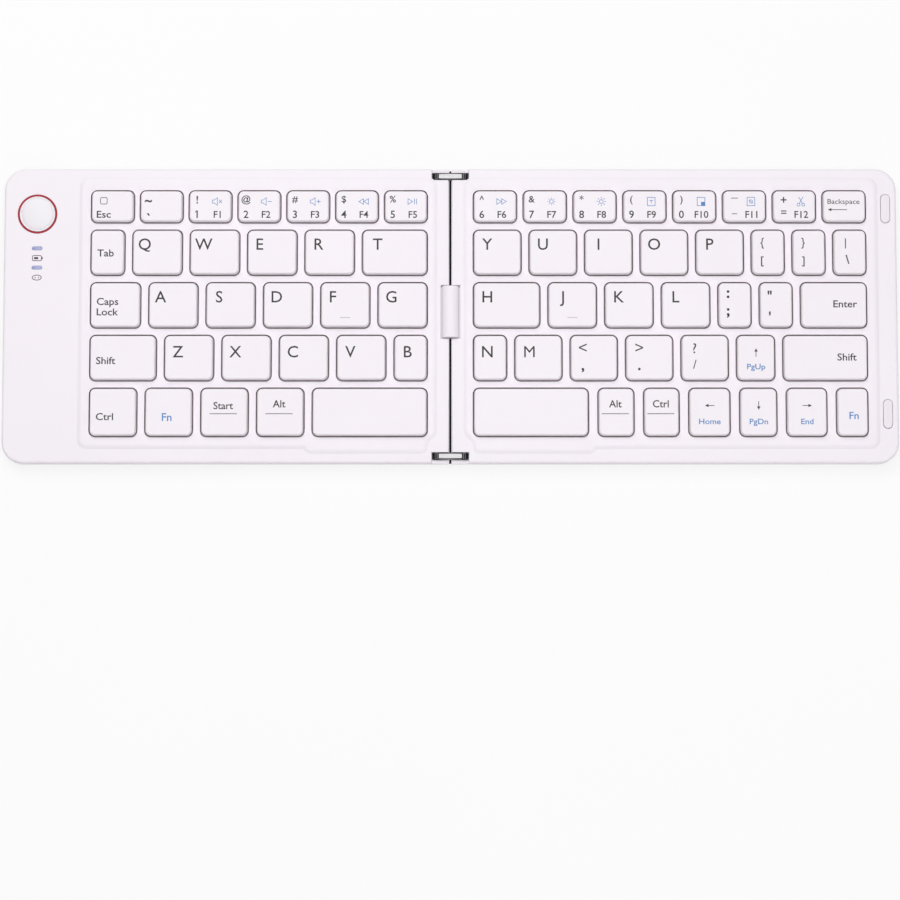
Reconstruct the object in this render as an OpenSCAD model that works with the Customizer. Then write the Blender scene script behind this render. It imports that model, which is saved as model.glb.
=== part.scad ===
// Folding keyboard: two thin halves that fold keys inward about a double-axis spine.
// Frame: X to the right, Y to the back, Z up; origin under the middle of the unfolded board.

/* [Body] */
// Width of the unfolded keyboard
open_w = 298; // [290:1:320]
// Depth from the back edge to the front edge
body_d = 99; // [98:0.5:110]
// Radius of the four outer corners, seen from above
corner_r = 7.2; // [5:0.1:8.5]
// Height of the rubber feet under the shells
foot_h = 0.6; // [0.4:0.05:0.8]
// Height of the top face of the border above the feet's plane
rim_z = 5.6; // [5.55:0.05:5.7]
// Height of the joint between the lower and the upper shell
split_z = 3.1; // [2.9:0.05:3.2]
// Thickness of the lower shell's floor
floor_t = 0.9; // [0.7:0.05:0.95]
// Thickness of the shells' side walls
side_t = 1.2; // [1:0.05:1.4]
// Thickness of the upper shell under the border
roof_t = 0.9; // [0.85:0.05:0.95]
// Width of the dark seam between the two halves
seam_w = 1.0; // [0.8:0.05:1.2]
// Width of the groove around the edge where the two shells meet
groove_w = 0.3; // [0.2:0.05:0.4]

/* [Deck] */
// Height of the raised deck above the border
deck_h = 0.4; // [0.3:0.05:0.5]
// Width of the sloping edge of the deck
deck_bevel = 1.6; // [1.2:0.1:2]
// Width of the deck outside the outermost keys
deck_margin = 4.2; // [3.9:0.1:4.3]
// Width of the deck between the keys and the seam
deck_inner = 3.4; // [3:0.05:3.6]
// Extra depth of the deck in front of the two space bars
space_step = 1.6; // [1:0.1:2]
// Corner radius of the deck
deck_r = 3.2; // [2.5:0.1:4]

/* [Keys] */
// Distance from the middle of the seam to the nearest keys
key_inset = 7.75; // [7.7:0.05:8]
// Width of the key field on the left half
left_span = 112; // [108:0.5:113]
// Width of the key field on the right half
right_span = 130.8; // [126:0.4:131]
// Distance from the back edge to the first row of keys
first_row = 7.6; // [7.6:0.1:8]
// Depth of the keys in the number row
number_key_d = 10.7; // [10:0.1:11]
// Depth of the keys in the three letter rows
letter_key_d = 15.1; // [14.6:0.1:15.3]
// Depth of the keys in the front row
front_key_d = 16; // [15.5:0.1:16.2]
// Distance between two rows of keys
row_gap = 2.6; // [2.4:0.05:2.7]
// Distance between two keys of a row
key_gap = 2.7; // [2.4:0.05:3]
// Corner radius of a keycap
key_r = 1.9; // [1.4:0.1:2.2]
// Height of the key tops above the feet's plane
key_top = 7.8; // [7.6:0.05:8]
// Height of a keycap from its skirt to its top
key_h = 1.9; // [1.8:0.05:2]
// Thickness of a keycap's top
key_top_t = 0.9; // [0.7:0.05:1]
// Thickness of a keycap's skirt
key_wall = 1; // [0.8:0.05:1.2]
// Size of the bevel around a keycap's top
key_bevel = 0.3; // [0.2:0.05:0.4]
// Gap between a keycap and its hole in the deck
key_clear = 0.35; // [0.3:0.05:0.5]
// Radius of the plunger under a keycap
plunger_r = 1.2; // [0.9:0.05:1.4]

/* [Hinge] */
// Distance of each hinge pin from the middle of the seam
pin_x = 4.6; // [4.6:0.05:4.8]
// Height of the hinge pins above the feet's plane
pin_z = 4.3; // [4.25:0.05:4.4]
// Radius of a hinge pin
pin_r = 0.5; // [0.4:0.05:0.55]
// Radial running clearance of a pin in its bracket
pin_fit = 0.05; // [0.03:0.01:0.08]
// Radius of the rounded ends of a link
link_r = 1.3; // [1.2:0.05:1.35]
// Thickness of a link along the pins
link_t = 2; // [1.8:0.05:2.1]
// Distance from the body's end to the middle of a link
link_inset = 2.5; // [2.4:0.05:2.6]
// Length of the bright cap around the middle of a link
cap_l = 6.6; // [6:0.1:6.6]
// Sheet thickness of the cap
cap_t = 0.25; // [0.2:0.01:0.28]
// Thickness of the bars between the barrel and the links
bar_t = 0.5; // [0.4:0.05:0.55]
// Width of the foot of these bars, which closes the seam from below
bar_foot = 0.75; // [0.6:0.05:0.8]
// Free space around the moving hinge parts
hinge_clear = 0.3; // [0.25:0.05:0.35]
// Radius of a bracket's knuckle
knuckle_r = 0.9; // [0.8:0.05:0.95]
// Width of a bracket along the pins
bracket_w = 2.4; // [2.2:0.1:2.5]
// Length of a bracket's leaf
leaf_l = 11; // [9:0.5:12]
// Thickness of a bracket's leaf
leaf_t = 0.7; // [0.5:0.05:0.8]

/* [Cable barrel] */
// Radius of the barrel that covers the ribbon cable
barrel_r = 2.9; // [2.6:0.05:2.9]
// Length of the barrel
barrel_l = 17.3; // [14:0.1:20]
// Distance of the barrel's middle behind the body's middle
barrel_y = 1.25; // [-3:0.05:3]
// Wall thickness of the barrel
barrel_wall = 0.7; // [0.5:0.05:0.9]
// Width of the ribbon cable
ribbon_w = 12; // [8:0.5:13]
// Thickness of the ribbon cable
ribbon_t = 0.3; // [0.2:0.05:0.4]
// Length of the ribbon cable across the barrel
ribbon_l = 5.7; // [5:0.1:5.8]

/* [Button and lights] */
// Radius of the red ring around the pairing button
ring_r = 6.6; // [6.2:0.1:7]
// Width of the red ring
ring_w = 0.65; // [0.5:0.05:0.8]
// Gap between the button and the ring
button_clear = 0.2; // [0.15:0.05:0.3]
// Height of the button's dome above the border
dome_h = 0.9; // [0.6:0.05:1.1]
// Distance of the button from the left edge
button_inset = 11.1; // [10.5:0.1:12]
// Distance of the button from the back edge
button_back = 15.3; // [14.5:0.1:16]
// Length of a status light
light_l = 3.5; // [3:0.1:4]
// Width of a status light
light_w = 1.25; // [1:0.05:1.5]
// Distance from the button's middle to the first status light
light_first = 11.6; // [11:0.1:12]
// Distance between the two status lights
light_pitch = 6.5; // [6:0.1:7]

/* [Inside] */
// Thickness of the steel plate that carries the key switches
plate_t = 0.3; // [0.25:0.01:0.35]
// Thickness of the contact membrane
membrane_t = 0.3; // [0.2:0.01:0.35]
// Thickness of the rubber sheet between the domes
sheet_t = 0.2; // [0.15:0.01:0.25]
// Height of the ribs under the plate
rib_h = 0.4; // [0.3:0.05:0.5]
// Width of a rib
rib_w = 1; // [0.8:0.1:1.4]
// Radius of a rubber dome at its foot
dome_r = 2.4; // [2:0.1:2.6]
// Length of the battery pouch
battery_l = 44; // [30:1:48]
// Width of the battery pouch
battery_w = 18; // [12:0.5:19]
// Thickness of the battery pouch
battery_t = 2.8; // [2:0.1:3]
// Thickness of the circuit board
board_t = 0.8; // [0.6:0.05:1]
// Length of the circuit board
board_l = 38; // [32:0.5:40]
// Width of the circuit board
board_w = 18; // [14:0.5:19]
// Corner radius of the circuit board
board_r = 4.5; // [4:0.1:5]
// Width of the charging socket
socket_w = 8.94; // [8.94:0.01:8.96]
// Height of the charging socket
socket_h = 3.16; // [3.14:0.01:3.16]
// Length of the charging socket
socket_l = 7.3; // [6.5:0.1:8]

/* [Feet, pads and screws] */
// Length of a rubber foot
foot_l = 14; // [8:0.5:20]
// Width of a rubber foot
foot_w = 4; // [3:0.1:5]
// Depth of the recess that holds a foot
foot_recess = 0.3; // [0.2:0.05:0.4]
// Distance of the feet from the outer edge
foot_inset = 16; // [12:0.5:24]
// Distance of the feet from the back and front edges
foot_edge = 9; // [7.5:0.1:12]
// Distance of the inner feet from the seam
foot_inner = 20; // [14:0.5:30]
// Length of a fold pad on the right border
pad_l = 9.6; // [8:0.1:11]
// Width of a fold pad
pad_w = 3; // [2.6:0.1:3.2]
// Height of a fold pad above the border
pad_h = 0.4; // [0.2:0.05:0.6]
// Distance of the pads from the right edge
pad_inset = 3.7; // [3.5:0.1:3.9]
// Radius of a screw's shank
screw_r = 0.7; // [0.6:0.05:0.8]
// Radius of a screw's head
screw_head_r = 1.4; // [1.2:0.05:1.5]
// Radius of a screw boss
boss_r = 2; // [1.9:0.05:2.1]
// Distance of the screws from the back and front edges
screw_edge = 3.9; // [3.8:0.05:4]

/* [Hidden] */

$fn = 40;
eps = 0.01;

half_w = open_w / 2;
half_d = body_d / 2;
seam_x = seam_w / 2;
deck_z = rim_z + deck_h;
floor_z = foot_h + floor_t;
roof_z = rim_z - roof_t;
key_skirt = key_top - key_h;
plate_z = floor_z + rib_h;
membrane_z = plate_z + plate_t;
sheet_z = membrane_z + membrane_t;
dome_top = 4.9;
dome_seat = 0.05;
under_r = 1.6;
groove_d = 0.2;
edge_r = 0.9;
deck_sunk = 0.15;
deck_back = 0.4;
slot_gap = 0.6;
side_gap = 0.2;
pocket_wall = 0.9;
wall_by_pocket = 0.8;
nose_gap = 0.2;
ear_gap = 0.1;
knuckle_gap = 0.1;
bracket_gap = 0.1;
bracket_hole_x = [4, 8.5];
bracket_hole_r = 0.6;
cap_proud = 0.05;
bar_lift = 0.3;
bar_foot_h = 0.7;
bar_taper = 0.3;
bar_end_gap = 0.3;
pin_hole_gap = 0.2;
slot_reach = 1.5;
barrel_room = 1;
foot_fit = 0.2;
foot_flat = 0.05;
foot_edge_r = 0.25;
pad_recess = 0.4;
pad_edge = 0.15;
pad_flat = 0.02;
pad_fit = 0.1;
pad_back = 13.5;
pad_front = 16.5;
window_fit = 0.06;
light_lip = 0.6;
light_lip_t = 0.5;
flange_t = 0.4;
flange_w = 1;
ring_proud = 0.15;
ring_fit = 0.03;
flange_play = 0.03;
button_flange_t = 0.3;
button_side = 0.25;
button_roof = 0.9;
button_wall = 1;
stem_r = 1;
switch_w = 5.2;
switch_corner = 0.6;
switch_stem_r = 1.4;
switch_stem_h = 0.2;
press_room = 0.43;
cable_z = pin_z - 1.1;

// Relative widths of the keys, from left to right, row by row from the back
left_rows = [[1, 1, 1, 1, 1, 1, 1],
             [0.68, 1, 1, 1, 1, 1.31],
             [1.02, 1, 1, 1, 1, 1],
             [1.35, 1, 1, 1, 1, 0.67],
             [1, 1, 1, 1, 2.43]];
right_rows = [[1, 1, 1, 1, 1, 1, 1, 1],
              [1, 1, 1, 1, 1, 0.69, 0.69, 0.69],
              [1.37, 1, 1, 1, 0.68, 0.68, 1.365],
              [0.7, 1, 1, 1, 1, 0.81, 1.79],
              [2.8, 0.87, 0.86, 1, 0.9, 0.98, 0.76]];
// How much tighter or wider than key_gap each row is spaced
number_less_left = 0.6;
number_less_right = 0.4;
letter_more = 0.1;
front_more_left = 0.15;
front_more_right = 0.6;
left_extra = [-number_less_left, 0, letter_more, letter_more, front_more_left];
right_extra = [-number_less_right, 0, letter_more, letter_more, front_more_right];
row_d = [number_key_d, letter_key_d, letter_key_d, letter_key_d, front_key_d];

function sum_to(v, n) = n <= 0 ? 0 : v[n - 1] + sum_to(v, n - 1);
function is_left(side) = side < 0;
function rows(side) = is_left(side) ? left_rows : right_rows;
function span(side) = is_left(side) ? left_span : right_span;
function gap_in(side, row) = key_gap + (is_left(side) ? left_extra : right_extra)[row];
function field_x(side) = is_left(side) ? -key_inset - left_span : key_inset;
function unit_w(side, row) =
    (span(side) - gap_in(side, row) * (len(rows(side)[row]) - 1))
    / sum_to(rows(side)[row], len(rows(side)[row]));
// Keys are placed in steps of 0.02 mm, so that their straight and round edges meet
function stepped(v) = round(v * 50) / 50;
function key_w(side, row, i) = stepped(rows(side)[row][i] * unit_w(side, row));
function key_x(side, row, i) = stepped(field_x(side) + gap_in(side, row) * i
    + (sum_to(rows(side)[row], i) + rows(side)[row][i] / 2) * unit_w(side, row));
function row_y(row) = half_d - first_row - sum_to(row_d, row) - row_gap * row - row_d[row] / 2;
function field_back() = half_d - first_row;
function field_front() = row_y(4) - row_d[4] / 2;

left_screw_x = [20, 72, 121];
right_screw_x = [20, 80, 136];
function screw_x(side) = is_left(side) ? left_screw_x : right_screw_x;

button_x = -half_w + button_inset;
button_y = half_d - button_back;
button_r = ring_r - ring_w - button_clear;
switch_top = 3.9;
button_foot = switch_top + press_room;
board_z = 2.4;
strip_gap = 1;
strip_x = -half_w + side_t + strip_gap;
socket_z = (floor_z + roof_z) / 2;
socket_r = 1.2;
socket_wall = 0.3;
socket_sunk = 0.3;
socket_back = 1;
slot_room_w = 0.2;
slot_room_h = 0.04;
tongue_sunk = 0.9;
tongue_w = 6.7;
tongue_t = 0.7;
notch_side = 0.2;
notch_end = 0.3;
board_back = 0.6;
post_r = 0.9;
post_side = 2;
post_end = 8;
battery_front = 3;
battery_r = 1.5;
battery_edge = 0.4;
plate_margin = 0.2;
sheet_r = 1;
screw_room = 0.15;
head_room = 0.1;
screw_sunk = 0.05;
screw_head_h = 0.55;
screw_reach = 1.2;
screw_end_gap = 0.2;
cross_l = 1.8;
cross_w = 0.35;
cross_d = 0.6;

// ---------- shared shapes ----------

// Rounded rectangle in the plane
module pill_plan(w, d, r) {
    if (w > 2 * r) square([w - 2 * r, d], center = true);
    if (d > 2 * r) square([w, d - 2 * r], center = true);
    for (sx = [-1, 1], sy = [-1, 1])
        translate([sx * (w / 2 - r), sy * (d / 2 - r)]) circle(r);
}

module rounded_block(w, d, r, z0, z1) {
    translate([0, 0, z0]) linear_extrude(z1 - z0) pill_plan(w, d, r);
}

// Rounded plate whose edge follows points [inset, height], from the bottom up
module edged_plate(w, d, r, edge) {
    n = len(edge);
    module slab(across, along) {
        linear_extrude(along, center = true)
            polygon(concat([for (p = edge) [across / 2 - p[0], p[1]]],
                           [for (i = [n - 1:-1:0]) [edge[i][0] - across / 2, edge[i][1]]]));
    }
    rotate([90, 0, 0]) slab(w, d - 2 * r);
    rotate([90, 0, 90]) slab(d, w - 2 * r);
    for (sx = [-1, 1], sy = [-1, 1])
        translate([sx * (w / 2 - r), sy * (d / 2 - r), 0]) round_end(r, edge);
}

module round_end(r, edge) {
    n = len(edge);
    rotate_extrude()
        polygon(concat([[0, edge[0][1]]], [for (p = edge) [r - p[0], p[1]]],
                       [[0, edge[n - 1][1]]]));
}

// One half of the body, seen from above: square at the seam, rounded outside
module half_plate(inset, edge) {
    n = len(edge);
    r = corner_r - inset;
    x0 = seam_x + inset;
    x1 = half_w - inset;
    d = body_d - 2 * inset;
    rotate([90, 0, 0]) linear_extrude(d - 2 * r, center = true)
        polygon(concat([[x0, edge[0][1]]], [for (p = edge) [x1 - p[0], p[1]]],
                       [[x0, edge[n - 1][1]]]));
    translate([x0, 0, 0]) rotate([90, 0, 90]) linear_extrude(x1 - r - x0)
        polygon(concat([for (p = edge) [d / 2 - p[0], p[1]]],
                       [for (i = [n - 1:-1:0]) [edge[i][0] - d / 2, edge[i][1]]]));
    for (sy = [-1, 1])
        translate([x1 - r, sy * (d / 2 - r), 0]) round_end(r, edge);
}

module on_side(side) {
    if (is_left(side)) mirror([1, 0, 0]) children();
    else children();
}

module at_keys(side) {
    for (row = [0:4], i = [0:len(rows(side)[row]) - 1])
        translate([key_x(side, row, i), row_y(row), 0]) children();
}

module at_ends() {
    translate([0, half_d, 0]) children();
    translate([0, -half_d, 0]) mirror([0, 1, 0]) children();
}

// A bar across the fold, between y0 and y1 measured inward from the body's end
module across(y0, y1) {
    translate([0, -y0, 0]) rotate([90, 0, 0]) linear_extrude(y1 - y0) children();
}

// ---------- cut-outs that both shells share ----------

pocket_y0 = link_inset - link_t / 2 - cap_t - side_gap;
pocket_y1 = link_inset + link_t / 2 + cap_t + side_gap;
pocket_x = pin_x + link_r + hinge_clear;
bracket_y0 = pocket_y1 + pocket_wall;
bracket_y1 = bracket_y0 + bracket_w;
ear_z = pin_z + ear_gap;

module link_pocket() {
    at_ends() {
        across(pocket_y0, pocket_y1)
            translate([0, pin_z - link_r - hinge_clear])
                square([pocket_x, rim_z]);
        translate([-eps, -pocket_y0 - eps, ear_z])
            cube([pocket_x + eps, pocket_y0 + 1, rim_z]);
    }
}

// The inner edge is cut back to a round nose about the pins beside the barrel
module barrel_pocket() {
    nose = pin_x - barrel_r - nose_gap;
    translate([0, barrel_y, 0]) rotate([90, 0, 0])
        linear_extrude(barrel_l + 2 * hinge_clear, center = true)
            difference() {
                square([pin_x, rim_z + 1]);
                translate([pin_x, pin_z]) circle(nose);
                translate([pin_x - nose, -1]) square([nose + 1, pin_z + 1]);
            }
}

module pin_holes(r) {
    at_ends() across(pocket_y1 - 1, bracket_y1 + 1)
        translate([pin_x, pin_z]) circle(r);
}

module ribbon_slot() {
    translate([0, barrel_y, cable_z])
        cube([2 * (pin_x + slot_reach), ribbon_w + slot_gap, ribbon_t + slot_gap], center = true);
}

module socket_slot() {
    translate([button_x, half_d, socket_z]) rotate([90, 0, 0])
        linear_extrude(socket_l + 1, center = true)
            pill_plan(socket_w + slot_room_w, socket_h + slot_room_h, socket_r);
}

module screw_holes(side, r, z0, z1) {
    for (x = screw_x(side), sy = [-1, 1])
        translate([x, sy * (half_d - screw_edge), z0]) cylinder(r = r, h = z1 - z0);
}

module foot_places(side) {
    for (x = [foot_inner, half_w - foot_inset], sy = [-1, 1])
        translate([x, sy * (half_d - foot_edge), 0]) children();
}

// ---------- the two shells of a half ----------

under_round = [for (a = [0:15:90])
    [under_r * (1 - sin(a)), foot_h + under_r * (1 - cos(a))]];
top_round = [for (a = [0:15:90])
    [edge_r * (1 - cos(a)), rim_z - edge_r * (1 - sin(a))]];

module shell_cavity(side, z0, z1) {
    room_y = barrel_l / 2 + hinge_clear + wall_by_pocket;
    difference() {
        half_plate(side_t, [[0, z0], [0, z1]]);
        at_ends() translate([0, bracket_gap - bracket_y0, z0 - 1])
            cube([pocket_x + wall_by_pocket, bracket_y0, z1 - z0 + 2]);
        translate([0, barrel_y - room_y, z0 - 1])
            cube([pin_x + barrel_room, 2 * room_y, z1 - z0 + 2]);
    }
}

module bottom_shell(side) {
    difference() {
        union() {
            difference() {
                on_side(side) half_plate(0, concat(under_round, [[0, split_z - groove_w],
                    [groove_d, split_z - groove_w], [groove_d, split_z]]));
                on_side(side) shell_cavity(side, floor_z, split_z + 1);
            }
            on_side(side) screw_holes(side, boss_r, floor_z - eps, split_z);
            plate_ribs(side);
            if (is_left(side)) board_posts();
        }
        on_side(side) link_pocket();
        on_side(side) barrel_pocket();
        ribbon_slot();
        on_side(side) screw_holes(side, screw_r + screw_room, 0, split_z + 1);
        on_side(side) screw_holes(side, screw_head_r + head_room, 0,
                                  foot_h + screw_sunk + screw_head_h);
        on_side(side) foot_places(side)
            rounded_block(foot_l + foot_fit, foot_w + foot_fit, foot_w / 2, 0,
                          foot_h + foot_recess);
        if (is_left(side)) socket_slot();
    }
}

// Ribs under the gaps between the rows of keys hold the steel plate off the floor
module plate_ribs(side) {
    for (row = [0:3])
        translate([field_x(side), row_y(row) - row_d[row] / 2 - row_gap / 2 - rib_w / 2,
                   floor_z - eps])
            cube([span(side), rib_w, rib_h + eps]);
}

module board_posts() {
    for (sy = [-1, 1], dx = [post_side, board_w - post_side])
        translate([strip_x + dx, board_y + sy * (board_l / 2 - post_end), floor_z - eps])
            cylinder(r = post_r, h = board_z - floor_z + eps);
}

module deck_form(side) {
    slope = deck_bevel / deck_h;
    edge = [[-slope * deck_sunk, rim_z - deck_sunk], [deck_bevel, deck_z]];
    w = span(side) + deck_margin + deck_inner;
    cx = side * (key_inset - deck_inner + w / 2);
    back = field_back() + deck_margin + deck_back;
    front = field_front() - deck_margin;
    step_w = key_w(side, 4, is_left(side) ? 4 : 0) + 2 * deck_inner;
    step_x = side * (key_inset - deck_inner + step_w / 2);
    translate([cx, (back + front) / 2, 0]) edged_plate(w, back - front, deck_r, edge);
    translate([step_x, (back + front - space_step) / 2, 0])
        edged_plate(step_w, back - front + space_step, deck_r, edge);
}

module top_shell(side) {
    difference() {
        union() {
            difference() {
                union() {
                    on_side(side) half_plate(0, concat([[0, split_z]], top_round));
                    deck_form(side);
                }
                on_side(side) shell_cavity(side, split_z - 1, roof_z);
            }
            on_side(side) screw_holes(side, boss_r, split_z, roof_z + eps);
        }
        on_side(side) link_pocket();
        on_side(side) barrel_pocket();
        on_side(side) pin_holes(pin_r + pin_hole_gap);
        ribbon_slot();
        on_side(side) at_ends() across(bracket_y0 - bracket_gap, bracket_y1 + bracket_gap)
            translate([pin_x - knuckle_r - knuckle_gap, split_z])
                square([2 * (knuckle_r + knuckle_gap), pin_z + knuckle_r + knuckle_gap - split_z]);
        on_side(side) screw_holes(side, screw_r, split_z - 1,
                                  split_z + screw_reach + screw_end_gap);
        for (row = [0:4], i = [0:len(rows(side)[row]) - 1])
            translate([key_x(side, row, i), row_y(row), 0])
                rounded_block(key_w(side, row, i) + 2 * key_clear, row_d[row] + 2 * key_clear,
                              key_r + key_clear, split_z, deck_z + 1);
        if (is_left(side)) {
            socket_slot();
            translate([button_x, button_y, split_z]) cylinder(r = ring_r + ring_fit, h = rim_z);
            at_lights() rounded_block(light_w + window_fit, light_l + window_fit, light_w / 2,
                                      split_z, rim_z + 1);
        } else at_pads() rounded_block(pad_w + pad_fit, pad_l + pad_fit, pad_w / 2,
                                       rim_z - pad_recess, rim_z + 1);
    }
}

// ---------- key switches ----------

module switch_sheet(side, margin, z, t) {
    translate([field_x(side) + span(side) / 2, (field_back() + field_front()) / 2, 0])
        rounded_block(span(side) + 2 * margin, field_back() - field_front() + 2 * margin,
                      sheet_r, z, z + t);
}

module key_plate(side) {
    color("silver") switch_sheet(side, plate_margin, plate_z, plate_t);
}

module membrane(side) {
    color([0.86, 0.9, 0.86]) switch_sheet(side, 0, membrane_z, membrane_t);
}

module domes(side) {
    color([0.9, 0.9, 0.92]) {
        switch_sheet(side, 0, sheet_z, sheet_t);
        at_keys(side) translate([0, 0, sheet_z])
            cylinder(r1 = dome_r, r2 = plunger_r, h = dome_top - sheet_z);
    }
}

module keycap(w, d) {
    edge = [[0, key_skirt], [0, key_top - key_bevel], [key_bevel, key_top]];
    difference() {
        edged_plate(w, d, key_r, edge);
        rounded_block(w - 2 * key_wall, d - 2 * key_wall, key_r - key_wall, key_skirt - 1,
                      key_top - key_top_t);
    }
    translate([0, 0, dome_top + dome_seat])
        cylinder(r = plunger_r, h = key_top - key_top_t - dome_top);
}

// Keys number a to b of one row
module keys(side, row, a, b) {
    color([0.96, 0.95, 0.96])
        for (i = [a:b]) translate([key_x(side, row, i), row_y(row), 0])
            keycap(key_w(side, row, i), row_d[row]);
}

// ---------- electronics ----------

board_y = half_d - side_t - board_back - board_l / 2;
battery_y = -half_d + side_t + battery_front + battery_l / 2;

module battery() {
    color([0.75, 0.77, 0.8]) translate([strip_x + battery_w / 2, battery_y, 0])
        edged_plate(battery_w, battery_l, battery_r,
                    [[battery_edge, floor_z], [0, floor_z + battery_edge],
                     [0, floor_z + battery_t - battery_edge],
                     [battery_edge, floor_z + battery_t]]);
}

module main_board() {
    color([0.1, 0.4, 0.25]) difference() {
        translate([strip_x + board_w / 2, board_y, 0])
            rounded_block(board_w, board_l, board_r, board_z, board_z + board_t);
        translate([button_x - socket_w / 2 - notch_side,
                   half_d - socket_sunk - socket_l - notch_end, board_z - 1])
            cube([socket_w + 2 * notch_side, socket_l, board_t + 2]);
    }
}

module charge_socket() {
    color("lightgrey") translate([button_x, half_d - socket_sunk, socket_z]) rotate([90, 0, 0]) {
        difference() {
            linear_extrude(socket_l) pill_plan(socket_w, socket_h, socket_r);
            translate([0, 0, -socket_back]) linear_extrude(socket_l)
                pill_plan(socket_w - 2 * socket_wall, socket_h - 2 * socket_wall,
                          socket_r - socket_wall);
        }
        translate([0, 0, tongue_sunk]) linear_extrude(socket_l - socket_back)
            square([tongue_w, tongue_t], center = true);
    }
}

module button_switch() {
    color([0.3, 0.3, 0.32]) translate([button_x, button_y, 0]) {
        rounded_block(switch_w, switch_w, switch_corner, board_z + board_t,
                      switch_top - switch_stem_h);
        translate([0, 0, switch_top - switch_stem_h])
            cylinder(r = switch_stem_r, h = switch_stem_h);
    }
}

// ---------- button, ring and lights ----------

ring_flange_z = roof_z - flange_t;

module button_ring() {
    color("crimson") translate([button_x, button_y, 0]) rotate_extrude()
        polygon([[ring_r - ring_w, ring_flange_z], [ring_r + flange_w, ring_flange_z],
                 [ring_r + flange_w, roof_z], [ring_r, roof_z], [ring_r, rim_z + ring_proud],
                 [ring_r - ring_w, rim_z + ring_proud]]);
}

module pairing_button() {
    flange_top = ring_flange_z - flange_play;
    flange_foot = flange_top - button_flange_t;
    steps = 8;
    side_top = rim_z + button_side;
    rise = rim_z + dome_h - side_top;
    color([0.93, 0.93, 0.95]) translate([button_x, button_y, 0]) rotate_extrude()
        polygon(concat(
            [[0, button_foot], [stem_r, button_foot], [stem_r, rim_z - button_roof],
             [button_r - button_wall, rim_z - button_roof],
             [button_r - button_wall, flange_foot],
             [ring_r, flange_foot], [ring_r, flange_top],
             [button_r, flange_top], [button_r, side_top]],
            [for (i = [1:steps]) [button_r * cos(90 * i / steps),
                                  side_top + rise * sin(90 * i / steps)]]));
}

module at_lights() {
    for (k = [0, 1])
        translate([button_x, button_y - light_first - k * light_pitch, 0])
            rotate([0, 0, 90]) children();
}

module status_lights() {
    color([0.6, 0.65, 0.9]) at_lights() {
        rounded_block(light_w, light_l, light_w / 2, roof_z - eps, rim_z);
        rounded_block(light_w + 2 * light_lip, light_l + 2 * light_lip, light_w / 2 + light_lip,
                      roof_z - light_lip_t, roof_z);
    }
}

// ---------- spine: links, caps, pins, barrel ----------

module link_outline(r) {
    square([2 * pin_x, 2 * r], center = true);
    for (sx = [-1, 1]) translate([sx * pin_x, 0]) circle(r);
}

module end_only(back) {
    if (back) translate([0, half_d, 0]) children();
    else translate([0, -half_d, 0]) mirror([0, 1, 0]) children();
}

module hinge_link(back) {
    color([0.25, 0.25, 0.27]) end_only(back)
        across(link_inset - link_t / 2, link_inset + link_t / 2)
            translate([0, pin_z]) difference() {
                link_outline(link_r);
                for (sx = [-1, 1]) translate([sx * pin_x, 0]) circle(pin_r);
            }
}

// A bright sleeve folded around the middle of the link
module link_cap(back) {
    y0 = link_inset - link_t / 2 - cap_t;
    color("gainsboro") end_only(back) translate([0, 0, pin_z]) difference() {
        translate([-cap_l / 2, -y0 - link_t - 2 * cap_t, -link_r - cap_proud])
            cube([cap_l, link_t + 2 * cap_t, 2 * (link_r + cap_proud)]);
        translate([-cap_l, -y0 - link_t - cap_t, -link_r])
            cube([2 * cap_l, link_t, 2 * link_r]);
    }
}

module hinge_pins() {
    color("silver") at_ends() across(link_inset - link_t / 2, bracket_y1)
        for (sx = [-1, 1]) translate([sx * pin_x, pin_z]) circle(pin_r);
}

module hinge_brackets(side) {
    color([0.35, 0.35, 0.38]) on_side(side) at_ends() difference() {
        across(bracket_y0, bracket_y1) {
            translate([pin_x, pin_z]) circle(knuckle_r);
            translate([pin_x - knuckle_r, floor_z]) square([2 * knuckle_r, pin_z - floor_z]);
            translate([pin_x, floor_z]) square([leaf_l, leaf_t]);
        }
        across(bracket_y0 - 1, bracket_y1 + 1) translate([pin_x, pin_z]) circle(pin_r + pin_fit);
        for (x = bracket_hole_x)
            translate([pin_x + x, -(bracket_y0 + bracket_y1) / 2, floor_z - 1])
                cylinder(r = bracket_hole_r, h = leaf_t + 2);
    }
}

// Thin rails in the seam that carry the barrel between the two links
module spine_bars() {
    foot_z = foot_h + bar_lift;
    foot_top = foot_z + bar_foot_h;
    web_z = foot_top + bar_taper;
    top_z = pin_z - link_r - cap_proud;
    color([0.1, 0.1, 0.11]) for (back = [true, false])
        end_only(back)
            across(bar_end_gap, half_d - barrel_l / 2 - (back ? barrel_y : -barrel_y))
                polygon([[-bar_foot / 2, foot_z], [bar_foot / 2, foot_z],
                         [bar_foot / 2, foot_top], [bar_t / 2, web_z],
                         [bar_t / 2, top_z], [-bar_t / 2, top_z],
                         [-bar_t / 2, web_z], [-bar_foot / 2, foot_top]]);
}

module cable_barrel() {
    color([0.93, 0.93, 0.95]) translate([0, barrel_y, 0]) difference() {
        translate([0, 0, pin_z]) rotate([90, 0, 0])
            cylinder(r = barrel_r, h = barrel_l, center = true);
        translate([0, 0, pin_z]) rotate([90, 0, 0])
            cylinder(r = barrel_r - barrel_wall, h = barrel_l - 2 * barrel_wall, center = true);
        translate([0, 0, cable_z])
            cube([2 * pin_x, ribbon_w + slot_gap, ribbon_t + slot_gap], center = true);
    }
}

module ribbon_cable() {
    color([0.8, 0.5, 0.15]) translate([0, barrel_y, cable_z])
        cube([ribbon_l, ribbon_w, ribbon_t], center = true);
}

// ---------- feet, pads and screws ----------

module feet(side) {
    color([0.7, 0.7, 0.72]) on_side(side) foot_places(side)
        edged_plate(foot_l, foot_w, foot_w / 2 - foot_flat,
                    [[foot_edge_r, 0], [0, foot_edge_r], [0, foot_h + foot_recess]]);
}

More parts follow.
